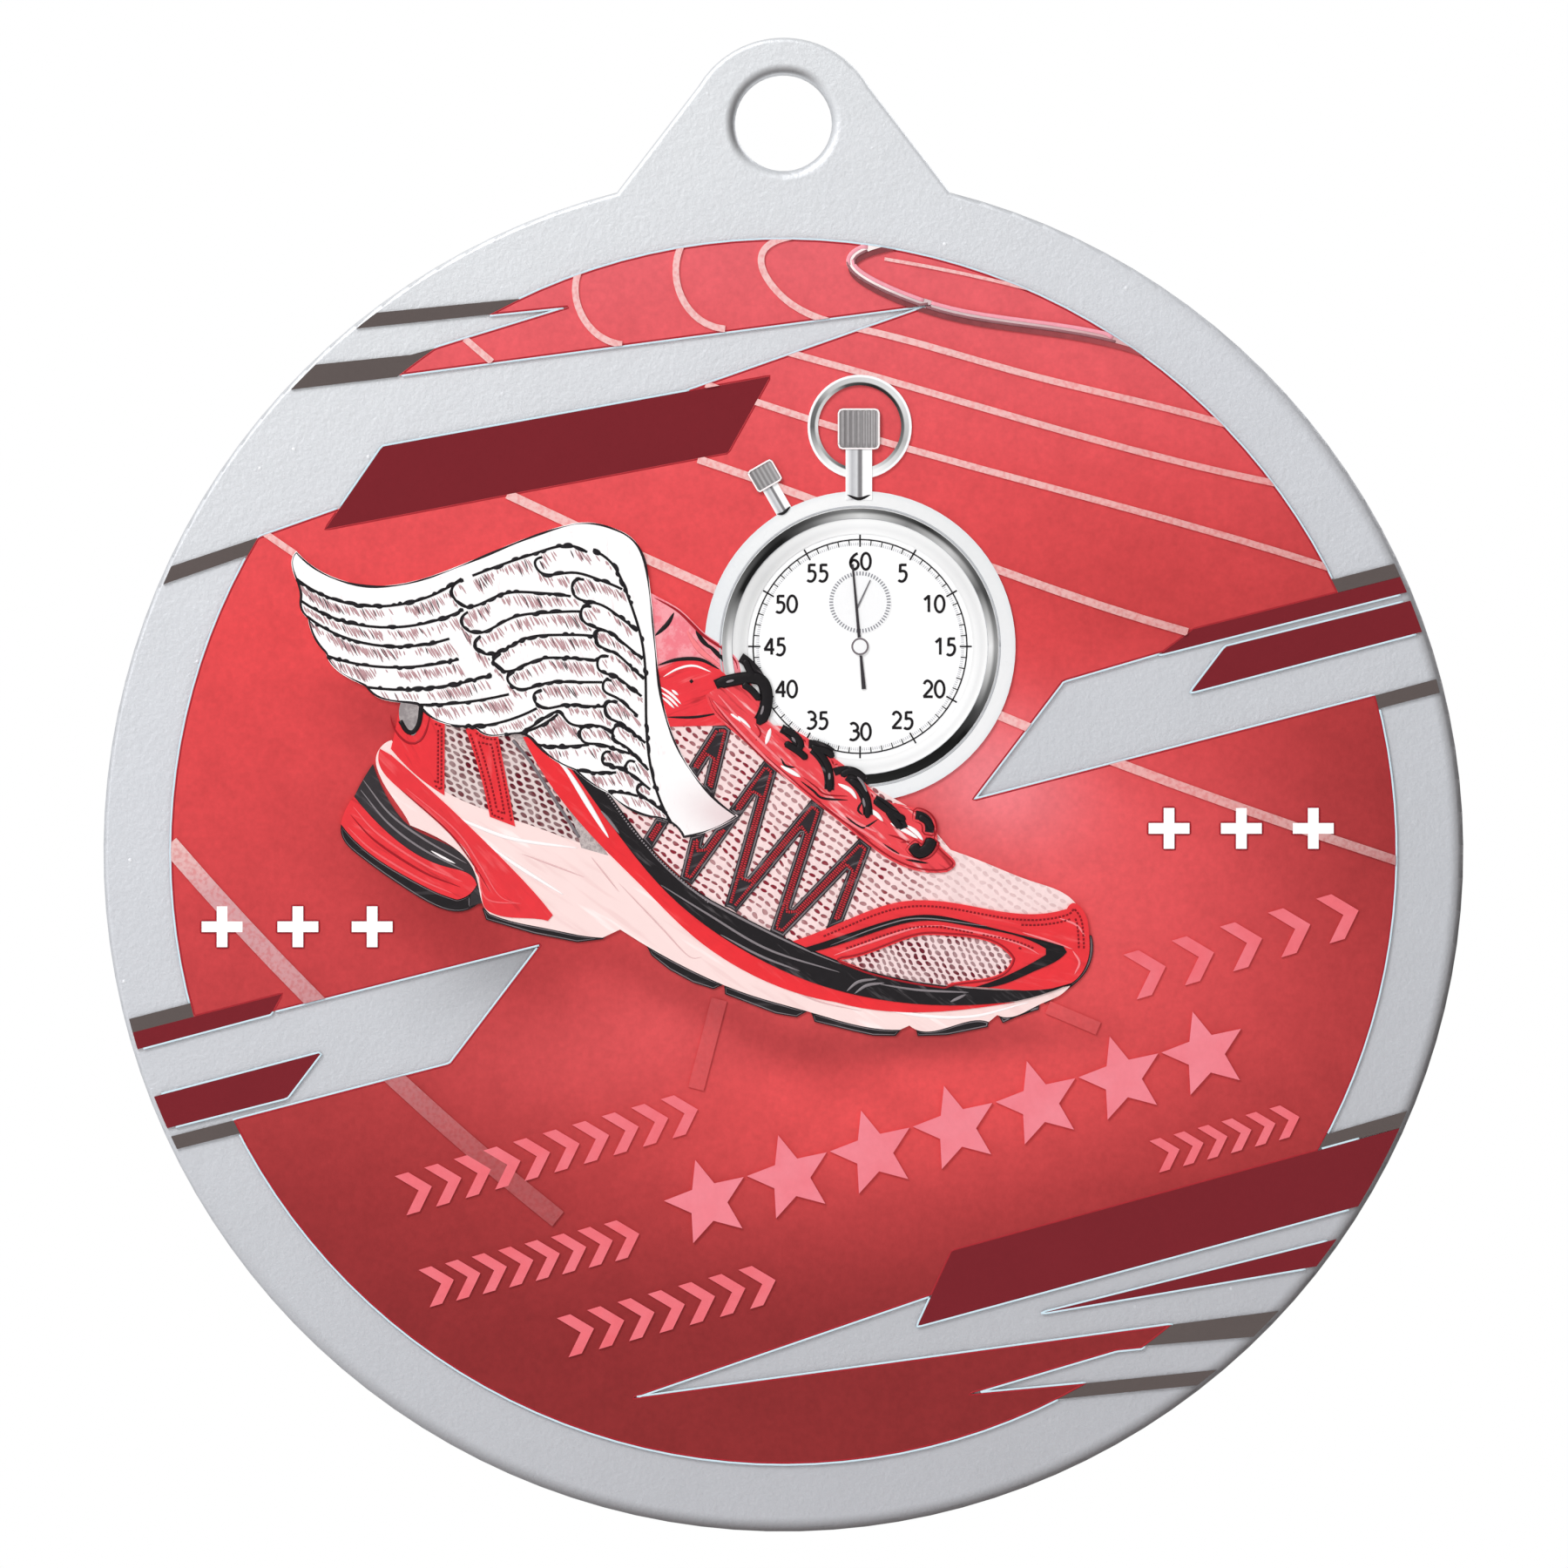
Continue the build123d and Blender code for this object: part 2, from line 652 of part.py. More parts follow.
with BuildPart() as outsole_lugs:
    with BuildSketch(facing(field_front)):
        for corners in lugs:
            Polygon(*corners, align=None)
        add(
            patch(
                [
                    (-22.74, 1.5), (-22.68, 0.7), (-21.84, -0.2),
                    (-19.2, -2.06), (-16.32, -3.02), (-15.54, -2.5),
                ],
                [(-15.5, -1.5)],
                [(-17.3, -0.5)],
                [(-20.4, 1.2)],
            )
        )
        add(
            patch(
                [(13.44, -7.82), (14.88, -6.9), (15.6, -6.12), (15.92, -5.16), (15.85, -4.3)],
                [(15.6, -4.3)],
                [(15.3, -6.0), (13.3, -7.5)],
            )
        )
    extrude(amount=relief[0])
    cut_by(midsole, midsole_wedge, heel_cushion, heel_clip, lateral_rail, toe_overlay)

upper_pieces = [laces, eyestay, ankle_flap, tongue, wing, midfoot_cage, forefoot_mesh]
sole_pieces = [lateral_rail, midsole_line, toe_overlay, toe_piping, toe_mesh, midsole, midsole_wedge]
heel_pieces = [heel_tab, heel_counter, quarter_straps, collar_lining, collar_mesh]
heel_pieces += [heel_cushion, heel_clip, outsole_lugs]
shoe_and_wing = upper_pieces + sole_pieces + heel_pieces

# ======================================================== the stopwatch, from its top pieces down

hour_marks = 12
minute_marks = 60
hour_tick = (0.62, 0.08)
hour_tick_inset = 0.06
minute_tick = (0.3, 0.05)
minute_tick_inset = 0.14
minute_ring_width = 0.07
sub_dial_tick = (0.2, 0.07)
sub_dial_tick_inset = 0.16

# Centre lines of the numerals in a box one unit high; two points are straight, more are a smooth curve.
digit_lines = {
    "1": [[(0.06, 0.74), (0.34, 1.0)], [(0.34, 1.04), (0.34, 0.0)]],
    "2": [
        [(0.05, 0.8), (0.3, 1.0), (0.52, 0.76), (0.32, 0.36), (0.03, 0.03)],
        [(0.0, 0.03), (0.58, 0.03)],
    ],
    "3": [
        [(0.06, 0.93), (0.34, 0.99), (0.5, 0.77), (0.2, 0.54)],
        [(0.2, 0.54), (0.55, 0.3), (0.32, 0.01), (0.02, 0.06)],
    ],
    "4": [[(0.44, 0.0), (0.44, 1.0)], [(0.44, 1.0), (0.02, 0.31)], [(-0.02, 0.31), (0.6, 0.31)]],
    "5": [
        [(0.52, 0.98), (0.14, 0.98)],
        [(0.14, 1.02), (0.12, 0.52)],
        [(0.1, 0.57), (0.5, 0.45), (0.36, 0.02), (0.02, 0.05)],
    ],
    "6": [[(0.5, 0.98), (0.2, 0.78), (0.06, 0.3), (0.3, 0.01), (0.54, 0.3), (0.32, 0.57), (0.08, 0.4)]],
}
digit_pitch = 0.72
digit_width = 0.56


def draw_numeral(number, center):
    """Draw the number's digits upright around the centre, inside the sketch being built."""
    text = str(number)
    left = center[0] - numeral_height * (digit_pitch * (len(text) - 1) + digit_width) / 2
    foot = center[1] - numeral_height / 2
    half_width = numeral_height * digit_width / 2
    half_height = numeral_height / 2
    half_line = numeral_line / 2
    for place, digit in enumerate(text):
        start = left + place * digit_pitch * numeral_height
        if digit == "0":
            with Locations((start + half_width, center[1])):
                Ellipse(half_width + half_line, half_height + half_line)
                Ellipse(half_width - half_line, half_height - half_line, mode=Mode.SUBTRACT)
            continue
        for line in digit_lines[digit]:
            points = [(start + x * numeral_height, foot + z * numeral_height) for x, z in line]
            add(stroke(points, numeral_line))


with BuildPart() as hand_hub:
    with BuildSketch(facing(dial_front)):
        with Locations(watch_center):
            Circle(hub_radius)
    extrude(amount=hub_height)

with BuildPart() as second_hand:
    with BuildSketch(facing(dial_front)):
        with Locations(Location(watch_center, -second_hand_angle)):
            Polygon((-0.08, 0.3), (0.08, 0.3), (0.045, 4.25), (-0.045, 4.25), align=None)
            Polygon((-0.06, -0.3), (0.06, -0.3), (0.11, -2.2), (-0.11, -2.2), align=None)
    extrude(amount=second_hand_height)
    cut_by(hand_hub)

with BuildPart() as sub_dial_hand:
    with BuildSketch(facing(dial_front)):
        with Locations(Location(sub_dial_center, -sub_hand_angle)):
            Polygon((-0.05, -0.35), (0.05, -0.35), (0.03, 1.25), (-0.03, 1.25), align=None)
    extrude(amount=sub_hand_height)
    cut_by(second_hand)

with BuildPart() as dial_numerals:
    with BuildSketch(facing(dial_front)):
        for mark in range(1, hour_marks + 1):
            spot = around(watch_center, numeral_radius, 360 / hour_marks * mark)
            draw_numeral(minute_marks // hour_marks * mark, spot)
    extrude(amount=line_film)
    cut_by(second_hand, *shoe_and_wing)

with BuildPart() as sub_dial_track:
    with BuildSketch(facing(dial_front + line_film)):
        with Locations(sub_dial_center):
            with PolarLocations(sub_dial_radius - sub_dial_tick_inset, minute_marks):
                Rectangle(*sub_dial_tick)
    extrude(amount=line_film / 2)
    cut_by(second_hand, dial_numerals)

with BuildPart() as sub_dial:
    with BuildSketch(facing(dial_front)):
        with Locations(sub_dial_center):
            Circle(sub_dial_radius)
    extrude(amount=line_film)
    cut_by(second_hand, sub_dial_hand, dial_numerals)

with BuildPart() as minute_track:
    with BuildSketch(facing(dial_front)):
        with Locations(watch_center):
            Circle(minute_radius + minute_ring_width / 2)
            Circle(minute_radius - minute_ring_width / 2, mode=Mode.SUBTRACT)
            with PolarLocations(minute_radius - minute_tick_inset, minute_marks):
                Rectangle(*minute_tick)
            with PolarLocations(minute_radius - hour_tick_inset, hour_marks):
                Rectangle(*hour_tick)
    extrude(amount=line_film)
    cut_by(*shoe_and_wing)

with BuildPart() as watch_dial:
    with BuildSketch(facing(field_front)):
        with Locations(watch_center):
            Circle(dial_radius)
    extrude(amount=relief[0])
    cut_by(*shoe_and_wing)

with BuildPart() as watch_flange:
    with BuildSketch(facing(field_front)):
        with Locations(watch_center):
            Circle(bezel_inner_radius)
            Circle(dial_radius, mode=Mode.SUBTRACT)
    extrude(amount=relief[1])
    cut_by(*shoe_and_wing)

with BuildPart() as watch_bezel:
    with BuildSketch(facing(field_front)):
        with Locations(watch_center):
            Circle(bezel_outer_radius)
            Circle(bezel_inner_radius, mode=Mode.SUBTRACT)
    extrude(amount=relief[2])
    cut_by(*shoe_and_wing)

with BuildPart() as watch_case:
    with BuildSketch(facing(field_front)):
        with Locations(watch_center):
            Circle(case_radius)
            Circle(bezel_outer_radius, mode=Mode.SUBTRACT)
    extrude(amount=relief[1])
    cut_by(*shoe_and_wing)

with BuildPart() as crown_knob:
    with BuildSketch(facing(field_front)):
        with Locations(crown_knob_center):
            RectangleRounded(*crown_knob_size, crown_knob_corner)
    extrude(amount=relief[3])

with BuildPart() as crown_stem:
    with BuildSketch(facing(field_front)):
        with Locations(crown_stem_center):
            Rectangle(*crown_stem_size)
    extrude(amount=relief[2])
    cut_by(watch_case)

with BuildPart() as bow_ring:
    with BuildSketch(facing(field_front)):
        with Locations(bow_center):
            Circle(bow_outer_radius)
            Circle(bow_inner_radius, mode=Mode.SUBTRACT)
    extrude(amount=relief[1])
    cut_by(crown_stem, crown_knob)

with BuildPart() as pusher_knob:
    with BuildSketch(facing(field_front)):
        with Locations(Location(pusher_knob_center, pusher_turn)):
            RectangleRounded(*pusher_knob_size, pusher_knob_corner)
    extrude(amount=relief[2])

with BuildPart() as pusher_stem:
    with BuildSketch(facing(field_front)):
        with Locations(Location(pusher_stem_center, pusher_turn)):
            Rectangle(*pusher_stem_size)
    extrude(amount=relief[1])
    cut_by(pusher_knob, watch_case)

watch_pieces = [watch_dial, watch_flange, watch_bezel, watch_case]
watch_pieces += [crown_knob, crown_stem, bow_ring, pusher_knob, pusher_stem]

# ======================================================== lines and ornaments on the red field

# The white lines of the running track: (points along the line, width).
lanes = [
    ([(-7.0, 31.1), (-10.7, 28.7), (-10.2, 27.3), (-8.3, 26.1)], lane_width),
    ([(0.4, 31.8), (-5.5, 29.4), (-5.0, 28.1), (-3.0, 26.9)], lane_width),
    ([(3.2, 31.7), (-1.0, 29.8), (0.0, 28.5), (4.4, 26.8), (12.0, 24.7), (23.4, 21.8)], lane_width),
    ([(5.2, 30.5), (8.0, 30.0), (13.2, 28.8)], 0.5 * lane_width),
    ([(0.2, 25.7), (8.0, 23.5), (16.0, 21.2), (26.4, 18.75)], lane_width),
    ([(-4.0, 24.06), (2.8, 21.8), (12.0, 19.2), (29.0, 14.3)], lane_width),
    ([(-4.4, 20.2), (1.0, 18.3), (10.8, 14.6), (20.8, 11.3)], 1.2 * lane_width),
    ([(-14.2, 18.4), (-7.1, 15.1), (3.0, 10.6), (12.6, 6.4), (22.0, 2.8), (32.6, -0.8)], 1.4 * lane_width),
    ([(-26.7, 16.4), (-25.1, 15.3)], lane_width),
    ([(-16.4, 26.4), (-15.0, 25.2)], lane_width),
    ([(-31.6, 0.4), (-24.1, -7.7), (-11.6, -18.9)], 2.8 * lane_width),
    ([(-3.3, -7.6), (-4.5, -12.2)], 2.4 * lane_width),
    ([(13.6, -8.0), (16.2, -9.1)], 2.0 * lane_width),
]
kerb_run = [(5.8, 31.5), (3.5, 30.2), (5.6, 28.85), (11.0, 27.4), (20.4, 25.1)]
kerb_width = 0.45
kerb_shadow_width = 0.32
kerb_shadow_run = [(x + 0.05, z - 0.36) for x, z in kerb_run]
plus_spots = [(19.84, 1.2), (23.56, 1.2), (27.26, 1.2), (-28.88, -3.86), (-24.98, -3.86), (-21.16, -3.86)]

with BuildPart() as plus_marks:
    with BuildSketch(facing(field_front)):
        with Locations(*plus_spots):
            Rectangle(plus_size, plus_arm)
            Rectangle(plus_arm, plus_size)
    extrude(amount=relief[0])


star_count = 7
star_pitch = 4.45
star_points = 5
star_radius = 2.25
star_waist = 0.45 * star_radius
star_row_center = (8.9, -14.2)


def star():
    """The corners of a star around the origin, its first point up."""
    radii = [star_radius, star_waist] * star_points
    return [around((0, 0), length, 180 / star_points * corner) for corner, length in enumerate(radii)]


with BuildPart() as star_row:
    with BuildSketch(facing(field_front)):
        with Locations(Location(star_row_center, text_tilt)):
            with GridLocations(star_pitch, 0, star_count, 1):
                Polygon(*star(), align=None)
    extrude(amount=relief[1])

# Rows of chevrons: (left end of the foot line, right end, height, count).
chevron_runs = [
    ((-19.4, -18.7), (-4.2, -14.3), 2.1, 10),
    ((-18.2, -23.4), (-7.3, -20.7), 2.0, 8),
    ((-11.1, -26.0), (-0.2, -23.1), 2.1, 7),
    ((17.8, -7.7), (30.2, -4.1), 2.4, 5),
    ((19.3, -16.5), (26.7, -14.5), 1.7, 6),
]


def chevron(height):
    """A chevron's corners, pointing along the row, centred on its own middle."""
    half = height / 2
    back = -0.38 * height
    arm = 0.34 * height
    nose = 0.42 * height
    upper = [(back, half), (back + arm, half), (nose, 0)]
    lower = [(back + arm, -half), (back, -half), (nose - arm, 0)]
    return upper + lower


with BuildPart() as chevron_rows:
    with BuildSketch(facing(field_front)):
        for left, right, height, count in chevron_runs:
            for place in range(count):
                spot = along(left, right, (place + 0.5) / count, height / 2)
                with Locations(Location(spot, text_tilt)):
                    Polygon(*chevron(height), align=None)
    extrude(amount=relief[0])
    cut_by(maroon_bars, star_row)

field_prints = [star_row, chevron_rows, plus_marks]


def clip_to_field():
    """Keep only what stands on the red field."""
    add(extrude(field_face, amount=relief[4], dir=(0, -1, 0), mode=Mode.PRIVATE), mode=Mode.INTERSECT)


with BuildPart() as kerb_band:
    with BuildSketch(facing(field_front)):
        add(stroke(kerb_run, kerb_width))
    extrude(amount=relief[1])
    clip_to_field()

with BuildPart() as kerb_shadow:
    with BuildSketch(facing(field_front)):
        add(stroke(kerb_shadow_run, kerb_shadow_width))
    extrude(amount=relief[0])
    clip_to_field()
    cut_by(kerb_band, *watch_pieces)

with BuildPart() as lane_lines:
    with BuildSketch(facing(field_front)):
        for run_points, width in lanes:
            add(stroke(run_points, width))
    extrude(amount=relief[0])
    clip_to_field()
    cut_by(kerb_band, kerb_shadow, *shoe_and_wing, *watch_pieces, *field_prints)

# ======================================================== the finished pieces

pieces = {
    "medal_blank": medal_blank,
    "red_field": red_field,
    "maroon_bars": maroon_bars,
    "grey_bars": grey_bars,
    "lane_lines": lane_lines,
    "kerb_band": kerb_band,
    "kerb_shadow": kerb_shadow,
    "plus_marks": plus_marks,
    "star_row": star_row,
    "chevron_rows": chevron_rows,
    "watch_case": watch_case,
    "watch_bezel": watch_bezel,
    "watch_flange": watch_flange,
    "watch_dial": watch_dial,
    "minute_track": minute_track,
    "dial_numerals": dial_numerals,
    "sub_dial": sub_dial,
    "sub_dial_track": sub_dial_track,
    "sub_dial_hand": sub_dial_hand,
    "second_hand": second_hand,
    "hand_hub": hand_hub,
    "crown_knob": crown_knob,
    "crown_stem": crown_stem,
    "bow_ring": bow_ring,
    "pusher_knob": pusher_knob,
    "pusher_stem": pusher_stem,
    "wing": wing,
    "feather_lines": feather_lines,
    "outsole_lugs": outsole_lugs,
    "heel_cushion": heel_cushion,
    "heel_clip": heel_clip,
    "midsole": midsole,
    "midsole_wedge": midsole_wedge,
    "midsole_line": midsole_line,
    "lateral_rail": lateral_rail,
    "heel_counter": heel_counter,
    "heel_tab": heel_tab,
    "collar_mesh": collar_mesh,
    "collar_lining": collar_lining,
    "quarter_straps": quarter_straps,
    "forefoot_mesh": forefoot_mesh,
    "midfoot_cage": midfoot_cage,
    "toe_overlay": toe_overlay,
    "toe_piping": toe_piping,
    "toe_mesh": toe_mesh,
    "tongue": tongue,
    "ankle_flap": ankle_flap,
    "eyestay": eyestay,
    "laces": laces,
}

os.makedirs("parts", exist_ok=True)
for name, piece in pieces.items():
    piece.part.label = name
    export_step(piece.part, f"parts/{name}.step")
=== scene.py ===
"""The looks of a sports finisher medal: a sand-textured steel blank with a raised picture on its front.

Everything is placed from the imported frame. The medal stands upright, its front looks along -Y and its tab
points along +Z. Depth is counted from the flat back face towards the viewer.
"""

import functools
import json
import math
import random

import bpy
import numpy as np
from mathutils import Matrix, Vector


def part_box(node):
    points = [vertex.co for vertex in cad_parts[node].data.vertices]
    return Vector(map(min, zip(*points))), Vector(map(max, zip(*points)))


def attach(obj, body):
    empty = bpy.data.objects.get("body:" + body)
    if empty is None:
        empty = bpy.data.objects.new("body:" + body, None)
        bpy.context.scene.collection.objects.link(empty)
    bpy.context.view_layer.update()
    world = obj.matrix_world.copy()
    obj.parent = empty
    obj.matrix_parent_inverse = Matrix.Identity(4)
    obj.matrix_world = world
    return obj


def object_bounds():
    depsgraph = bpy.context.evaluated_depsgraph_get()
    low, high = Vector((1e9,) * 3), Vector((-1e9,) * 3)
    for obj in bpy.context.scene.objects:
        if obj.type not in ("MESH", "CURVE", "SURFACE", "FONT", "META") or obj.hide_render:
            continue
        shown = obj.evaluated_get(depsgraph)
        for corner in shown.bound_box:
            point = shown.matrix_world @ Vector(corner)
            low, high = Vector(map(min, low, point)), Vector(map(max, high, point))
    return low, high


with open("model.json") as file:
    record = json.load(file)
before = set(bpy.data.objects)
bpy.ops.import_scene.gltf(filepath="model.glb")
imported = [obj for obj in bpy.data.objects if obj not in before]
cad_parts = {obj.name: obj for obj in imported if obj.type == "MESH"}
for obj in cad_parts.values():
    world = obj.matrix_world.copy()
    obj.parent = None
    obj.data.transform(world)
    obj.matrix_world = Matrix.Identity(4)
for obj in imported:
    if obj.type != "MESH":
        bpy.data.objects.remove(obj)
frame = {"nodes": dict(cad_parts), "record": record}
cad_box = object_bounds()
nodes = frame["nodes"]

MM = 0.001

# ======================================================== measures taken from the frame, in millimetres


def sheet(name):
    """A node's box seen from the front: (lowest x, highest x, lowest z, highest z)."""
    low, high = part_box(name)
    return low.x / MM, high.x / MM, low.z / MM, high.z / MM


def front(name):
    """How far a node's front face stands in front of the back face."""
    return -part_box(name)[0].y / MM


def half_width(name):
    left, right, _, _ = sheet(name)
    return (right - left) / 2


def at(name, across, up):
    """The point at these shares of a node's box, counted from its left and its foot."""
    left, right, foot, top = sheet(name)
    return (left + across * (right - left), foot + up * (top - foot))


def top_center(name):
    """The centre of a round node whose box is cut at its foot."""
    left, right, _, top = sheet(name)
    return ((left + right) / 2, top - half_width(name))


bezel_radius = half_width("watch_bezel")
dial_center = top_center("watch_bezel")
field_left, field_right, field_foot, field_top = sheet("red_field")
disc_radius = sheet("medal_blank")[1]

# ======================================================== node materials


def linear(red, green, blue):
    """A display colour, 0 to 255, as the linear colour that a shader takes."""
    shares = [value / 255 for value in (red, green, blue)]
    return [s / 12.92 if s <= 0.04045 else ((s + 0.055) / 1.055) ** 2.4 for s in shares] + [1.0]


class Nodes:
    """A node tree being built. Its methods take numbers, colours or sockets alike."""

    def __init__(self, tree):
        self.tree = tree
        tree.nodes.clear()

    def node(self, kind, inputs=(), **settings):
        """Add a node with these settings, and feed its inputs by name or number."""
        made = self.tree.nodes.new(kind)
        for key, value in settings.items():
            setattr(made, key, value)
        for key, value in dict(inputs).items():
            if isinstance(value, bpy.types.NodeSocket):
                self.tree.links.new(value, made.inputs[key])
            else:
                made.inputs[key].default_value = value
        return made

    def math(self, operation, *values, clamp=False):
        return self.node("ShaderNodeMath", enumerate(values), operation=operation, use_clamp=clamp).outputs[0]

    def plus(self, first, second):
        return self.math("ADD", first, second)

    def minus(self, first, second):
        return self.math("SUBTRACT", first, second)

    def times(self, first, second):
        return self.math("MULTIPLY", first, second)

    def over(self, first, second):
        return self.math("DIVIDE", first, second)

    def scaled(self, value, factor, offset):
        """The value times a factor, plus an offset."""
        return self.math("MULTIPLY_ADD", value, factor, offset)

    def squared(self, value):
        return self.math("POWER", self.math("ABSOLUTE", value), 2.0)


class Look(Nodes):
    """A node material being built. Its points are in millimetres, seen from the front."""

    def __init__(self, name):
        self.material = bpy.data.materials.new(name)
        self.material.use_nodes = True
        super().__init__(self.material.node_tree)
        place = self.node("ShaderNodeTexCoord").outputs["Object"]
        factors = {0: place, 1: (1 / MM, 1 / MM, 1 / MM)}
        self.point = self.node("ShaderNodeVectorMath", factors, operation="MULTIPLY").outputs[0]
        self.x, self.y, self.z = self.node("ShaderNodeSeparateXYZ", {0: self.point}).outputs

    def mix(self, share, first, second, blend="MIX"):
        inputs = {"Factor": share, "A": first, "B": second}
        return self.node("ShaderNodeMix", inputs, data_type="RGBA", blend_type=blend).outputs["Result"]

    def tint(self, color, share, strength, target):
        """A colour drawn towards a display colour, by a share of a strength."""
        return self.mix(self.times(share, strength), color, linear(*target))

    def between(self, share, first, second):
        """A number between two others."""
        return self.plus(first, self.times(share, self.minus(second, first)))

    def step(self, value, low, high):
        """0 below low and 1 above high, with a smooth rise between. With low above high it falls instead."""
        inputs = {
            "Value": value,
            "From Min": min(low, high),
            "From Max": max(low, high),
            "To Min": float(low > high),
            "To Max": float(low <= high),
        }
        return self.node("ShaderNodeMapRange", inputs, interpolation_type="SMOOTHSTEP").outputs["Result"]

    def noise(self, size, detail=2.0, rough=0.5, stretch=(1, 1, 1), turn=0.0, shift=0.0):
        """Noise around 0.5 whose patches are about size millimetres across. They can be stretched along axes
        that are turned anticlockwise by some degrees."""
        place = {
            "Vector": self.point,
            "Location": (shift, shift, shift),
            "Rotation": (0, -math.radians(turn), 0),
            "Scale": [size * part for part in stretch],
        }
        mapped = self.node("ShaderNodeMapping", place, vector_type="TEXTURE").outputs[0]
        inputs = {"Vector": mapped, "Scale": 1.0, "Detail": detail, "Roughness": rough}
        return self.node("ShaderNodeTexNoise", inputs).outputs["Fac"]

    def ramp(self, share, *stops):
        """A colour by its place among (place, colour) stops. A colour can be one grey value."""
        made = self.node("ShaderNodeValToRGB", {"Fac": share})
        row = made.color_ramp.elements
        while len(row) < len(stops):
            row.new(0.5)
        for element, (place, color) in zip(row, stops):
            element.position = place
            element.color = linear(*color) if isinstance(color, tuple) else linear(color, color, color)
        return made.outputs["Color"]

    def rotated(self, run, rise, degrees):
        """Coordinates along and across a direction turned anticlockwise from +X."""
        cosine = math.cos(math.radians(degrees))
        sine = math.sin(math.radians(degrees))
        lengthwise = self.plus(self.times(run, cosine), self.times(rise, sine))
        across = self.minus(self.times(rise, cosine), self.times(run, sine))
        return lengthwise, across

    def away(self, center):
        """The way from a centre, to the right and up."""
        return self.minus(self.x, center[0]), self.minus(self.z, center[1])

    def spot(self, center, radii, degrees=0.0):
        """1 at the centre of a soft ellipse, fading away around its radii."""
        lengthwise, across = self.rotated(*self.away(center), degrees)
        return self.math("EXPONENT", self.times(self.oval(lengthwise, across, radii), -1.0))

    def oval(self, lengthwise, across, radii):
        """0 at the centre of an ellipse and 1 on its border."""
        return self.plus(*[self.squared(self.over(*pair)) for pair in zip((lengthwise, across), radii)])

    def clock(self, center):
        """The way around a centre, 0 to 1, anticlockwise from nine o'clock."""
        run, rise = self.away(center)
        return self.scaled(self.math("ARCTAN2", rise, run), 0.5 / math.pi, 0.5)

    def radius(self, center):
        """The distance from a centre."""
        return self.math("SQRT", self.oval(*self.away(center), (1.0, 1.0)))

    def shaded(self, color, size=0.5, depth=0.12, seed=0.0):
        """A colour made a little uneven, as ink is, with darker and lighter patches of this size."""
        patches = self.noise(size, detail=3.0, shift=seed)
        light = self.scaled(self.minus(patches, 0.5), 2 * depth, 1.0)
        gray = self.node("ShaderNodeCombineColor", {0: light, 1: light, 2: light})
        return self.mix(1.0, color, gray.outputs[0], blend="MULTIPLY")

    def finish(self, color, rough=0.45, metal=0.0, gloss=0.2, height=None, bump=0.1):
        """Close the material: its colour, roughness, and a bump from a height map in units of 0.1 mm."""
        inputs = {"Base Color": color, "Roughness": rough, "Metallic": metal, "Specular IOR Level": gloss}
        if height is not None:
            relief = {"Strength": bump, "Distance": 0.1 * MM, "Height": height}
            inputs["Normal"] = self.node("ShaderNodeBump", relief).outputs["Normal"]
        surface = self.node("ShaderNodeBsdfPrincipled", inputs)
        self.node("ShaderNodeOutputMaterial", {"Surface": surface.outputs["BSDF"]})
        return self.material

    def film(self, color, gloss=0.1, rough=0.4, seed=0.0):
        """Close it as the cured surface of a printed film: almost smooth, with a faint orange peel."""
        peel = self.noise(0.16, detail=2.0, shift=seed)
        sheen = self.scaled(self.noise(0.9, shift=seed + 5), 0.14, rough - 0.07)
        return self.finish(color, rough=sheen, gloss=gloss, height=peel, bump=0.08)


# ======================================================== the blank


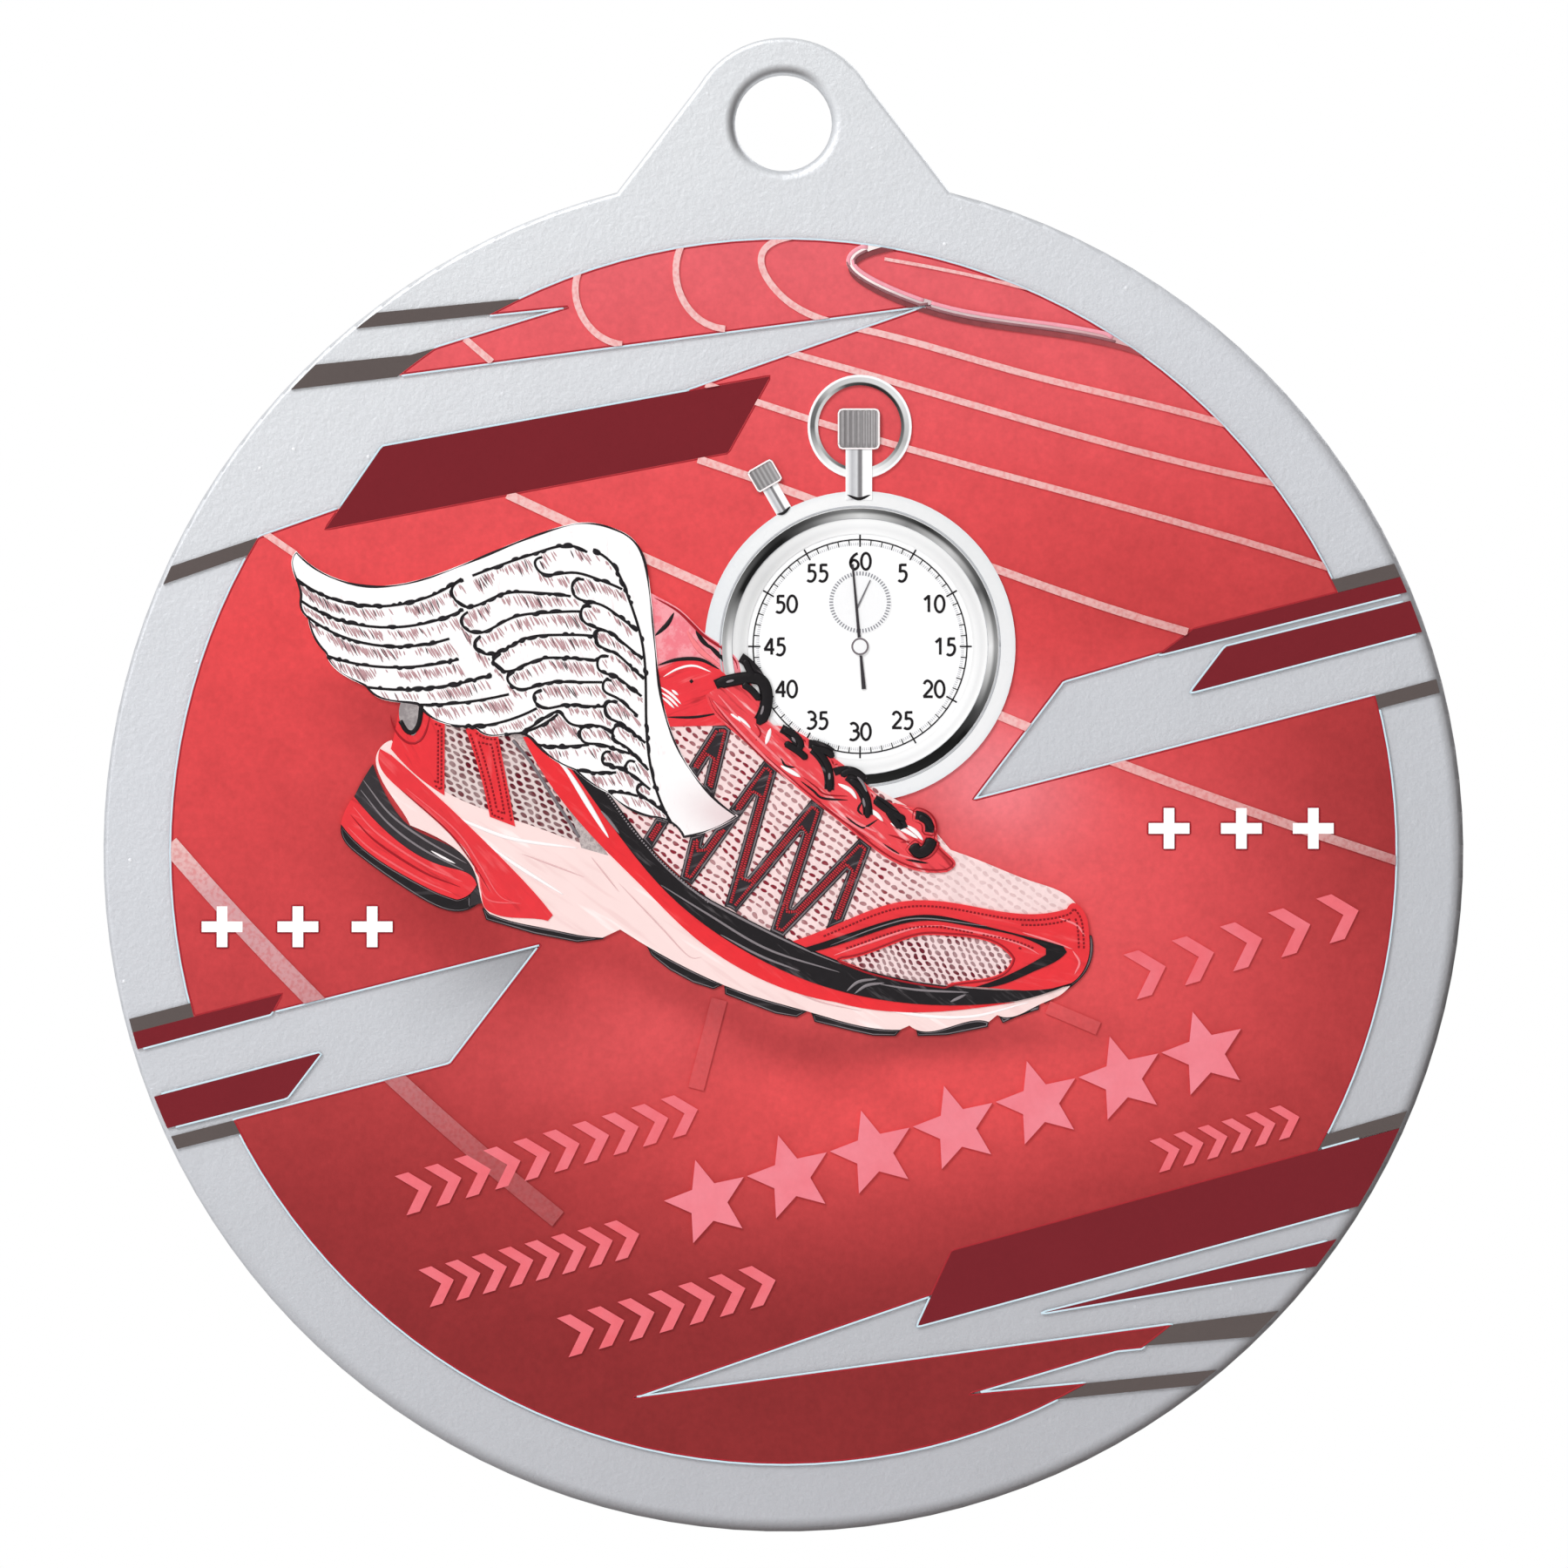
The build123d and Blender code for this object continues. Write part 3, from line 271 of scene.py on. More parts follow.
def steel_look():
    """Fine sand-textured steel with painted light: lighter at the upper left, with a few bright specks
    painted as glints. Its front face is darker with painted shade at its lower right edge and at the upper
    left of the hole, and with a painted shadow under the heel of the shoe."""
    look = Look("sand_textured_steel")
    # Painted light: the steel is drawn lighter towards the upper left and darker towards the lower right.
    fall = look.plus(look.times(look.z, 0.9), look.times(look.x, -0.35))
    light = look.scaled(fall, 0.5 / disc_radius, 0.5)
    tones = (0.0, (186, 187, 192)), (0.35, (199, 201, 206)), (0.72, (213, 215, 220)), (1.0, (224, 226, 229))
    tone = look.ramp(light, *tones)
    tone = look.shaded(tone, size=0.18, depth=0.035)
    tone = look.shaded(tone, size=3.0, depth=0.03, seed=7.0)
    # Painted glints: a few sand specks are drawn near white, and they also stand up as bumps.
    cells = {"Vector": look.point, "Scale": 0.55}
    specks = look.node("ShaderNodeTexVoronoi", cells, feature="F1").outputs["Distance"]
    bright = look.times(look.step(specks, 0.07, 0.02), 0.6)
    bright = look.times(bright, look.step(look.noise(5.0, shift=3.0), 0.45, 0.62))
    tone = look.mix(bright, tone, linear(246, 247, 250))
    on_front = look.step(look.y, 0.4 - front("medal_blank"), 0.1 - front("medal_blank"))
    # Painted shadow of the shoe's heel on the steel of the front face.
    heel = at("outsole_lugs", 0.23, 0.5)
    cast = look.times(look.spot((heel[0] + 1.2, heel[1] - 0.7), (5.2, 2.4), 25), 0.56)
    tone = look.mix(look.times(cast, on_front), tone, linear(112, 110, 114))
    # Painted shade on the rounded edge at the lower right of the front face.
    lower_right = look.step(look.times(look.minus(look.x, look.z), 0.7), -14.0, 26.0)
    turning = look.step(look.radius((0, 0)), disc_radius - 0.8, disc_radius + 0.1)
    shade = look.times(look.times(turning, lower_right), look.times(on_front, 0.9))
    tone = look.mix(shade, tone, linear(74, 66, 64))
    # Painted shade on the upper left of the hole's rounded edge.
    hole = frame["record"]["mounts"][0]
    center = (hole["pos_m"][0] / MM, hole["pos_m"][2] / MM)
    bore = hole["dims"]["r_mm"]
    run, rise = look.away(center)
    upper_left = look.step(look.minus(rise, run), -1.0, 2.2)
    rim = look.times(look.step(look.radius(center), bore + 0.6, bore + 0.1), upper_left)
    tone = look.mix(look.times(rim, look.times(on_front, 0.75)), tone, linear(84, 78, 78))
    sand = look.noise(0.22, detail=4.0, rough=0.6)
    coarse = look.times(look.noise(0.6, detail=2.0, shift=9.0), 0.6)
    height = look.plus(look.plus(sand, look.times(bright, 1.5)), coarse)
    rough = look.scaled(sand, 0.2, 0.42)
    return look.finish(tone, rough=rough, metal=0.55, gloss=0.4, height=height, bump=0.34)


# ======================================================== the ground colours


def field_ink(look):
    """The red ground: light at the top, dark at the foot, with soft glows and the shoe's cast shadow."""
    color = look.ramp(
        look.over(look.minus(look.z, field_foot), field_top - field_foot),
        (0.0, (137, 43, 44)),
        (0.12, (138, 43, 45)),
        (0.22, (152, 48, 50)),
        (0.32, (174, 58, 60)),
        (0.41, (194, 65, 68)),
        (0.52, (208, 69, 72)),
        (0.68, (223, 73, 76)),
        (0.8, (223, 80, 84)),
        (1.0, (224, 99, 106)),
    )
    # Each soft spot has its centre, half lengths, turn, strength and colour.
    spots = (
        ((field_right + 1.0, 3.0), (11.0, 17.0), 0, 0.95, (152, 47, 49)),
        ((19.0, 12.5), (9.0, 5.0), -20, 0.7, (186, 60, 62)),
        ((7.0, -11.5), (15.0, 6.5), 12, 0.95, (230, 82, 84)),
        ((-7.5, -9.3), (8.0, 3.6), 8, 0.85, (219, 84, 87)),
        ((15.5, -0.5), (8.5, 7.0), -20, 0.85, (228, 88, 92)),
        ((10.7, 3.9), (4.6, 3.4), -20, 0.65, (242, 142, 150)),
        ((-17.0, -3.3), (7.5, 2.7), -38, 0.62, (140, 40, 42)),
        ((-3.0, -8.2), (9.5, 1.3), -26, 0.5, (150, 46, 49)),
        ((7.5, -9.7), (8.0, 1.3), 3, 0.7, (150, 52, 55)),
        ((-20.5, 6.6), (3.6, 2.0), -35, 0.5, (152, 46, 50)),
    )
    for center, radii, turn, strength, target in spots:
        color = look.tint(color, look.spot(center, radii, turn), strength, target)
    color = look.shaded(color, size=0.3, depth=0.14, seed=3.0)
    return look.shaded(color, size=2.0, depth=0.12, seed=11.0)


def red_field_look():
    look = Look("red_ground_ink")
    return look.film(field_ink(look), seed=1.0)


def bar_look(name, color, seed):
    look = Look(name)
    tone = look.shaded(linear(*color), size=0.3, depth=0.035, seed=seed)
    return look.film(look.shaded(tone, size=4.0, depth=0.05, seed=seed + 3), seed=seed)


def lane_look():
    """Track lines: chalky white that lets the red through, fainter to the right and towards the foot."""
    look = Look("chalky_lane_ink")
    upper = look.scaled(look.step(look.x, 26.0, 4.0), 0.22, 0.36)
    low = look.step(look.z, 1.0, -3.0)
    left = look.step(look.x, -8.0, -12.0)
    fading = look.scaled(look.step(look.z, -17.0, -3.0), 0.45, 0.1)
    share = look.between(low, upper, look.between(left, 0.03, fading))
    worn = look.scaled(look.step(look.noise(0.2, detail=2.0), 0.3, 0.6), 0.36, 0.64)
    chalk = look.mix(low, linear(250, 236, 232), linear(214, 196, 200))
    share = look.math("MULTIPLY", share, worn, clamp=True)
    return look.film(look.mix(share, field_ink(look), chalk), seed=2.0)


def kerb_look():
    """White where the kerb turns, and greyer and more see-through to the right."""
    look = Look("kerb_ink")
    tone = look.mix(look.step(look.x, 7.0, 4.0), linear(208, 186, 188), linear(250, 236, 234))
    tone = look.shaded(tone, size=0.4, depth=0.14, seed=4.0)
    share = look.times(look.step(look.x, 8.0, 22.0), 0.4)
    return look.film(look.mix(share, tone, field_ink(look)), seed=4.0)


def kerb_shadow_look():
    look = Look("kerb_shadow_ink")
    tone = look.shaded(linear(132, 66, 70), size=0.35, depth=0.3, seed=6.0)
    share = look.times(look.step(look.x, 8.0, 22.0), 0.35)
    return look.film(look.mix(share, tone, field_ink(look)), seed=6.0)


def ornament_look(name, color, lighter, seed):
    """A see-through pink print in two tones."""
    look = Look(name)
    tone = look.mix(look.noise(1.6, shift=seed), linear(*color), linear(*lighter))
    return look.film(look.shaded(tone, size=0.3, depth=0.05, seed=seed), seed=seed)




# ======================================================== the stopwatch


def case_look():
    look = Look("watch_case_silver")
    # Painted reflections: the silver's tone turns around the dial.
    tone = look.ramp(
        look.clock(dial_center),
        (0.0, (226, 229, 232)),
        (0.12, (196, 204, 212)),
        (0.22, (232, 234, 236)),
        (0.4, (238, 238, 239)),
        (0.62, (230, 231, 232)),
        (0.8, (243, 243, 243)),
        (1.0, (226, 229, 232)),
    )
    outer = look.step(look.radius(dial_center), bezel_radius + 0.55, bezel_radius + 0.9)
    tone = look.tint(tone, outer, 0.35, (215, 219, 223))
    return look.film(look.shaded(tone, size=0.25, depth=0.02), gloss=0.4, rough=0.3)


def bezel_look():
    """Polished metal: black and white reflections that turn around the dial, different on its two slopes."""
    look = Look("watch_bezel_chrome")
    turn = look.clock(dial_center)
    inner = look.ramp(turn, (0.0, 226), (0.09, 240), (0.17, 190), (0.23, 24), (0.37, 2), (0.42, 60),
                      (0.5, 232), (0.57, 96), (0.63, 196), (0.69, 128), (0.75, 212), (0.81, 96), (0.85, 6),
                      (0.93, 8), (0.965, 150), (1.0, 226))
    outer = look.ramp(turn, (0.0, 170), (0.09, 216), (0.17, 226), (0.24, 30), (0.39, 4), (0.45, 96),
                      (0.5, 150), (0.56, 60), (0.62, 96), (0.67, 26), (0.72, 84), (0.76, 120), (0.82, 60),
                      (0.86, 34), (0.94, 96), (1.0, 170))
    slope = look.step(look.radius(dial_center), bezel_radius - 0.34, bezel_radius - 0.14)
    tone = look.shaded(look.mix(slope, inner, outer), size=0.2, depth=0.03)
    return look.finish(tone, rough=0.24, gloss=0.2)


def flange_look():
    """White, with fine turned rings and painted reflections that turn around the dial."""
    look = Look("watch_flange_white")
    rings = look.math("SINE", look.times(look.radius(dial_center), 2 * math.pi / 0.55))
    tone = look.ramp(look.clock(dial_center), (0.0, 226), (0.15, 238), (0.4, 250), (0.6, 234), (0.75, 246),
                     (0.9, 216), (1.0, 226))
    tone = look.mix(look.scaled(rings, 0.07, 0.07), tone, linear(190, 192, 196))
    return look.finish(tone, rough=0.3, gloss=0.2, height=rings, bump=0.15)


def dial_look(name, color):
    """Light enamel that greys a little towards the dial's rim."""
    look = Look(name)
    rim = look.step(look.radius(dial_center), 4.6, 5.8)
    tone = look.tint(linear(*color), rim, 0.3, (236, 237, 239))
    return look.film(look.shaded(tone, size=0.4, depth=0.012), gloss=0.3, rough=0.3)


def line_look(name, color, seed):
    """A thin printed line whose ink runs a little thick and thin."""
    look = Look(name)
    tone = look.shaded(linear(*color), size=0.22, depth=0.16, seed=seed)
    return look.film(tone, seed=seed, gloss=0.15)


def metal_look(node, degrees, half, stops, ribs=0.0):
    """A turned metal part drawn from its side: tones across its width that are painted reflections, and ribs
    when it is knurled, their crests painted lighter.
    """
    look = Look(node + "_metal")
    across = look.rotated(*look.away(at(node, 0.5, 0.5)), degrees)[0]
    tone = look.ramp(look.scaled(across, 0.5 / half, 0.5), *stops)
    height = None
    if ribs:
        height = look.math("SINE", look.times(across, 2 * math.pi / ribs))
        tone = look.mix(look.scaled(height, 0.22, 0.25), tone, linear(208, 206, 206))
    tone = look.shaded(tone, size=0.2, depth=0.06)
    return look.finish(tone, rough=0.3, gloss=0.35, height=height, bump=0.4)


def bow_look():
    """The wire bow: white edges with grey and dark reflections that turn along it."""
    look = Look("bow_ring_chrome")
    center = top_center("bow_ring")
    outside = half_width("bow_ring")
    turn = look.clock(center)
    inner = look.ramp(turn, (0.0, 214), (0.12, 150), (0.2, 80), (0.3, 226), (0.42, 120), (0.5, 90), (0.6, 40),
                      (0.7, 28), (0.8, 70), (0.88, 196), (1.0, 214))
    middle = look.ramp(turn, (0.0, 96), (0.06, 170), (0.14, 236), (0.3, 244), (0.45, 176), (0.6, 222),
                       (0.75, 206), (0.86, 190), (0.92, 110), (1.0, 96))
    radius = look.radius(center)
    tone = look.mix(look.step(radius, outside - 0.42, outside - 0.34), inner, middle)
    tone = look.mix(look.step(radius, outside - 0.16, outside - 0.1), tone, linear(246, 247, 249))
    return look.finish(look.shaded(tone, size=0.25, depth=0.04), rough=0.28, gloss=0.2)


# ======================================================== the wing and the shoe


def wing_look():
    look = Look("wing_white_ink")
    tone = look.shaded(linear(252, 250, 250), size=0.5, depth=0.02)
    tone = look.tint(tone, look.spot(at("wing", 0.98, 0.07), (2.4, 1.3), -20), 0.5, (206, 160, 164))
    smudge = look.step(look.noise(0.5, detail=4.0, rough=0.7, stretch=(1, 1, 2.2), turn=30), 0.6, 0.8)
    left_part = look.step(look.x, at("wing", 0.86, 0)[0], at("wing", 0.7, 0)[0])
    tone = look.tint(tone, look.times(smudge, left_part), 0.35, (222, 184, 184))
    streaks = look.noise(0.26, detail=3.0, rough=0.7, stretch=(1, 1, 4), turn=6, shift=9.0)
    tone = look.tint(tone, look.step(streaks, 0.58, 0.74), 0.3, (228, 200, 202))
    return look.film(tone, gloss=0.25)


def mesh_look(node, pitch, turn, slit, slant, cloth, opening, seed, fade_from=None):
    """Engineered mesh: rows of slanted slits through a light cloth. pitch is the way from slit to slit along
    a row and from row to row, and slit is half a slit's length and height, all in millimetres."""
    look = Look(node + "_cloth")
    wobble = look.times(look.minus(look.noise(1.1, shift=seed), 0.5), 0.35)
    lengthwise, across = look.rotated(look.x, look.z, turn)
    row = look.over(look.plus(across, wobble), pitch[1])
    stagger = look.times(look.math("PINGPONG", look.math("FLOOR", row), 1.0), 0.5)
    place = look.plus(look.over(look.plus(lengthwise, wobble), pitch[0]), stagger)
    run = look.times(look.minus(look.math("FRACT", place), 0.5), pitch[0])
    rise = look.times(look.minus(look.math("FRACT", row), 0.5), pitch[1])
    slits = look.step(look.oval(*look.rotated(run, rise, slant), slit), 1.3, 0.7)
    fading = look.scaled(look.step(look.noise(1.2, shift=seed + 2), 0.35, 0.6), 0.35, 0.65)
    if fade_from is not None:
        fading = look.times(fading, look.scaled(look.step(look.x, *fade_from), -0.72, 1.0))
    slits = look.times(slits, fading)
    tone = look.shaded(linear(*cloth), size=0.3, depth=0.1, seed=seed)
    tone = look.mix(slits, look.shaded(tone, size=1.6, depth=0.08, seed=seed + 4), linear(*opening))
    return look.finish(tone, rough=0.6, gloss=0.1, height=look.times(slits, -1.0), bump=0.6)


def red_plastic_look(node, color, turn, streak, seed, light=(246, 120, 124)):
    """Glossy moulded red with streaks along one direction: lighter ones of painted sheen, and darker ones."""
    look = Look(node + "_red")
    tone = look.shaded(linear(*color), size=0.7, depth=0.12, seed=seed)
    streaks = look.noise(0.34, detail=3.0, rough=0.55, stretch=(7, 1, 1), turn=turn, shift=seed)
    # Painted sheen: the lighter streaks.
    tone = look.tint(tone, look.step(streaks, 0.56, 0.76), streak, light)
    tone = look.tint(tone, look.step(streaks, 0.44, 0.26), streak, (150, 16, 28))
    return look.finish(tone, rough=0.34, gloss=0.3, height=streaks, bump=0.14)


def black_rubber_look(node, color, light, turn, streak, seed):
    """Dark rubber with grey streaks of painted sheen, which also make a faint bump."""
    look = Look(node + "_rubber")
    tone = look.shaded(linear(*color), size=0.4, depth=0.3, seed=seed)
    streaks = look.noise(0.3, detail=3.0, rough=0.6, stretch=(8, 1, 1), turn=turn, shift=seed)
    # Painted sheen: grey streaks along one direction.
    tone = look.tint(tone, look.step(streaks, 0.55, 0.75), streak, light)
    return look.finish(tone, rough=0.42, gloss=0.18, height=streaks, bump=0.18)


def foam_look():
    """Pale pink midsole foam with faint moulded streaks that follow the sole."""
    look = Look("midsole_foam")
    tone = look.shaded(linear(246, 219, 216), size=1.5, depth=0.03)
    streaks = look.noise(0.5, detail=2.0, stretch=(9, 1, 1), turn=-34)
    tone = look.tint(tone, look.step(streaks, 0.56, 0.7), 0.5, (236, 200, 198))
    tone = look.tint(tone, look.step(streaks, 0.42, 0.3), 0.6, (255, 244, 242))
    return look.finish(tone, rough=0.5, gloss=0.2, height=streaks, bump=0.12)


def soft_cloth_look(node, color, other, size, seed=0.0):
    """Speckled knit cloth in two tones."""
    look = Look(node + "_cloth")
    specks = look.noise(size, detail=4.0, rough=0.7, shift=seed)
    tone = look.mix(look.step(specks, 0.4, 0.62), linear(*color), linear(*other))
    return look.finish(tone, rough=0.7, gloss=0.1, height=specks, bump=0.4)


def paint(material, *names):
    """Give CAD nodes a material."""
    for name in names:
        slots = nodes[name].data.materials
        slots.clear()
        slots.append(material)


def paint_ground():
    paint(steel_look(), "medal_blank")
    paint(red_field_look(), "red_field")
    paint(bar_look("maroon_ink", (119, 32, 40), 12.0), "maroon_bars")
    paint(bar_look("warm_grey_ink", (92, 83, 81), 14.0), "grey_bars")
    paint(lane_look(), "lane_lines")
    paint(kerb_look(), "kerb_band")
    paint(kerb_shadow_look(), "kerb_shadow")
    paint(bar_look("white_mark_ink", (253, 253, 253), 16.0), "plus_marks")
    paint(ornament_look("pink_ornament_ink", (233, 116, 127), (238, 140, 152), 18.0), "star_row")
    paint(ornament_look("coral_ornament_ink", (231, 96, 104), (235, 126, 136), 20.0), "chevron_rows")


def paint_watch():
    paint(case_look(), "watch_case")
    paint(bezel_look(), "watch_bezel")
    paint(flange_look(), "watch_flange")
    paint(bow_look(), "bow_ring")
    paint(dial_look("dial_enamel", (255, 255, 255)), "watch_dial")
    paint(dial_look("sub_dial_enamel", (246, 246, 247)), "sub_dial")
    paint(dial_look("hub_enamel", (244, 244, 245)), "hand_hub")
    paint(line_look("black_line_ink", (24, 20, 23), 22.0), "minute_track", "dial_numerals", "feather_lines")
    paint(line_look("fine_grey_ink", (146, 146, 152), 24.0), "sub_dial_track")
    paint(line_look("grey_hand_ink", (120, 118, 122), 26.0), "sub_dial_hand")
    paint(line_look("dark_hand_ink", (58, 54, 58), 28.0), "second_hand")
    knurled = [(0.0, (112, 108, 109)), (0.3, (128, 124, 125)), (0.7, (136, 132, 133)), (1.0, (158, 154, 156))]
    polished = [(0.0, 250), (0.1, (236, 236, 238)), (0.24, (186, 186, 190)), (0.42, (214, 214, 217)),
                (0.5, (120, 118, 121)), (0.6, (128, 126, 128)), (0.66, 250), (1.0, 252)]
    # The pusher leans by 30 degrees, so its half widths can't be read from its boxes.
    for node, degrees, half, stops, ribs in (
        ("crown_knob", 0, half_width("crown_knob"), knurled, 0.3),
        ("crown_stem", 0, half_width("crown_stem"), polished, 0.0),
        ("pusher_knob", 30, 0.72, knurled, 0.24),
        ("pusher_stem", 30, 0.43, polished, 0.0),
    ):
        paint(metal_look(node, degrees, half, stops, ribs), node)


def paint_shoe():
    paint(wing_look(), "wing")
    paint(foam_look(), "midsole")
    fade = (at("forefoot_mesh", 0.6, 0)[0], at("forefoot_mesh", 0.74, 0)[0])
    for node, *settings in (
        ("collar_mesh", (0.52, 0.3), -24, (0.2, 0.1), -12, (222, 204, 202), (96, 20, 34), 2.0),
        ("forefoot_mesh", (0.52, 0.36), 17, (0.18, 0.085), -52, (243, 216, 215), (134, 34, 48), 4.0, fade),
        ("toe_mesh", (0.42, 0.3), -8, (0.17, 0.09), -40, (240, 214, 214), (106, 28, 42), 6.0),
    ):
        paint(mesh_look(node, *settings), node)
    for node, *settings in (
        ("heel_counter", (229, 46, 54), -60, 0.35, 1.0),
        ("quarter_straps", (228, 44, 52), -78, 0.35, 2.0),
        ("toe_overlay", (229, 46, 54), -12, 0.3, 3.0),
        ("ankle_flap", (232, 50, 60), 20, 0.6, 4.0),
        ("eyestay", (230, 66, 74), -42, 0.8, 5.0, (252, 206, 208)),
        ("midsole_line", (231, 40, 48), -40, 0.2, 6.0),
        ("midsole_wedge", (226, 48, 56), -46, 0.35, 7.0),
        ("heel_cushion", (228, 48, 56), -32, 0.5, 8.0),
    ):
        paint(red_plastic_look(node, *settings), node)
    for node, *settings in (
        ("outsole_lugs", (30, 26, 29), (120, 112, 116), 0, 0.2, 1.0),
        ("heel_clip", (52, 47, 50), (120, 112, 116), -42, 0.6, 2.0),
        ("lateral_rail", (28, 24, 27), (104, 98, 101), -38, 0.6, 3.0),
        ("toe_piping", (24, 20, 23), (120, 112, 116), -12, 0.2, 4.0),
        ("midfoot_cage", (44, 38, 42), (150, 140, 144), 20, 0.5, 5.0),
        ("laces", (26, 22, 25), (140, 130, 134), -30, 0.5, 6.0),
    ):
        paint(black_rubber_look(node, *settings), node)
    for node, *settings in (
        ("heel_tab", (146, 138, 139), (170, 162, 162), 0.3),
        ("collar_lining", (196, 184, 182), (160, 148, 148), 0.2, 2.0),
        ("tongue", (238, 126, 138), (243, 160, 168), 0.7, 4.0),
    ):
        paint(soft_cloth_look(node, *settings), node)


# ======================================================== borders of CAD pieces, and lines laid along them


@functools.lru_cache(maxsize=None)
def front_loops(name):
    """The closed borders of a node's front face as arrays of (x, z) points, with the face on their left."""
    mesh = nodes[name].data
    places = np.array([vertex.co for vertex in mesh.vertices]) / MM
    keys = [tuple(place) for place in np.round(places, 3)]
    face_depth = places[:, 1].min() + 0.002
    edges = set()
    for polygon in mesh.polygons:
        corners = [keys[index] for index in polygon.vertices]
        if all(corner[1] < face_depth for corner in corners):
            edges.update(zip(corners, corners[1:] + corners[:1]))
    following = {}
    for start, end in sorted(edges):
        if (end, start) not in edges:
            following.setdefault(start, []).append(end)
    loops = []
    while following:
        here = next(iter(following))
        loop = []
        while here in following:
            ends = following[here]
            loop.append((here[0], here[2]))
            after = ends.pop()
            if not ends:
                del following[here]
            here = after
        loops.append(np.array(loop))
    return [loop for loop in loops if len(loop) > 3]


def evenly(points, spacing, closed=False):
    """Points spread evenly along a line through the given ones."""
    line = np.array(points, float)
    if closed:
        line = np.vstack([line, line[:1]])
    lengths = np.hypot(*np.diff(line, axis=0).T)
    reach = np.concatenate([[0], np.cumsum(lengths)])
    count = max(2, int(round(reach[-1] / spacing)) + 1)
    places = np.linspace(0, reach[-1], count)
    return np.column_stack([np.interp(places, reach, line[:, 0]), np.interp(places, reach, line[:, 1])])


def curve(points, spacing=0.12):
    """A smooth line through a few points, by the Catmull-Rom formula."""
    line = [np.array(point, float) for point in points]
    if len(line) < 3:
        return evenly(line, spacing)
    line = [2 * line[0] - line[1], *line, 2 * line[-1] - line[-2]]
    smooth = []
    for before, start, end, after in zip(line, line[1:], line[2:], line[3:]):
        for t in np.linspace(0, 1, 12, endpoint=False):
            pull = 2 * start + (end - before) * t + (2 * before - 5 * start + 4 * end - after) * t * t
            pull = pull + (3 * start - before - 3 * end + after) * t**3
            smooth.append(0.5 * pull)
    smooth.append(line[-2])
    return evenly(smooth, spacing)


def left_of(ways):
    """The unit vectors to the left of some directions."""
    ways = ways / np.maximum(np.hypot(ways[:, 0], ways[:, 1]), 1e-9)[:, None]
    return np.column_stack([-ways[:, 1], ways[:, 0]])


def gaps_between(points, others):
    """The way from each point to the nearest of the others."""
    return np.sqrt(((points[:, None, :] - others[None, :, :]) ** 2).sum(axis=2)).min(axis=1)


def split_open(run, kept):
    """The stretches of an open line whose points are kept."""
    breaks = np.flatnonzero(np.diff(kept.astype(int))) + 1
    parts = zip(np.split(run, breaks), np.split(kept, breaks))
    return [part for part, keep in parts if keep[0] and len(part) > 2]


def inset_runs(loop, inset, spacing=0.1):
    """Stretches of a border moved inwards, broken where the face is narrow. A negative inset moves out."""
    line = evenly(loop, spacing, closed=True)[:-1]
    moved = line + inset * left_of(np.roll(line, -1, axis=0) - np.roll(line, 1, axis=0))
    kept = gaps_between(moved, line) > 0.9 * abs(inset)
    if kept.all():
        return [np.vstack([moved, moved[:1]])]
    first = int(np.argmin(kept))
    return split_open(np.roll(moved, -first, axis=0), np.roll(kept, -first))


def runs_along(name, inset, keep=None, spacing=0.1):
    """Inset stretches of all of a node's borders, only where keep(x, z) holds."""
    runs = [run for loop in front_loops(name) for run in inset_runs(loop, inset, spacing)]
    if keep is None:
        return runs
    return [part for run in runs for part in split_open(run, np.array([bool(keep(x, z)) for x, z in run]))]


def is_upper(run):
    """Whether an inset border runs with its face below it: such borders run from right to left."""
    return run[-1][0] < run[0][0]


def dashes(run, length, gap):
    """Short pieces of a line, as stitches show."""
    step = 0.04
    line = evenly(run, step)
    dash = max(2, int(length / step))
    pitch = dash + max(1, int(gap / step))
    return [line[start : start + dash + 1] for start in range(0, len(line) - dash, pitch)]


class Beads:
    """Raised lines gathered into one mesh. Each is a closed bead with a rounded back."""

    profile = [(-0.5, 0.0), (-0.36, 0.72), (0.0, 1.0), (0.36, 0.72), (0.5, 0.0)]

    def __init__(self):
        self.vertices = []
        self.faces = []

    def lay(self, line, width, height, depth, pointed=False, swell=None):
        """Lay a bead along a line on a face at this depth. swell gives its share of the width by place."""
        line = np.array(line, float)
        count = len(self.profile)
        start = len(self.vertices)
        for index, (point, side) in enumerate(zip(line, left_of(np.gradient(line, axis=0)))):
            share = index / (len(line) - 1)
            size = 1.0 if swell is None else swell(share)
            if pointed:
                size *= 0.12 + 0.88 * max(math.sin(math.pi * share), 0.0) ** 0.6
            for across, up in self.profile:
                x, z = point + side * across * width * size
                self.vertices.append((x * MM, -(depth + up * height * min(size, 1.0)) * MM, z * MM))
        last = len(self.vertices) - count
        for base in range(start, last, count):
            for corner in range(count):
                after = (corner + 1) % count
                self.faces.append((base + corner, base + count + corner, base + count + after, base + after))
        self.faces.append(tuple(range(start, start + count)))
        self.faces.append(tuple(reversed(range(last, last + count))))

    def build(self, name, material):
        """Make the piece, which rides on the blank."""
        mesh = bpy.data.meshes.new(name)
        mesh.from_pydata(self.vertices, [], self.faces)
        mesh.validate()
        mesh.update()
        mesh.shade_smooth()
        made = bpy.data.objects.new(name, mesh)
        bpy.context.scene.collection.objects.link(made)
        mesh.materials.append(material)
        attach(made, "root")


def plain_look(name, color, seed=0.0, rough=0.4, gloss=0.2, depth=0.14):
    """A thread or line of one colour, a little uneven."""
    look = Look(name)
    tone = look.shaded(linear(*color), size=0.2, depth=depth, seed=seed)
    grain = look.noise(0.08, detail=1.0, shift=seed)
    return look.finish(tone, rough=rough, gloss=gloss, height=grain, bump=0.12)


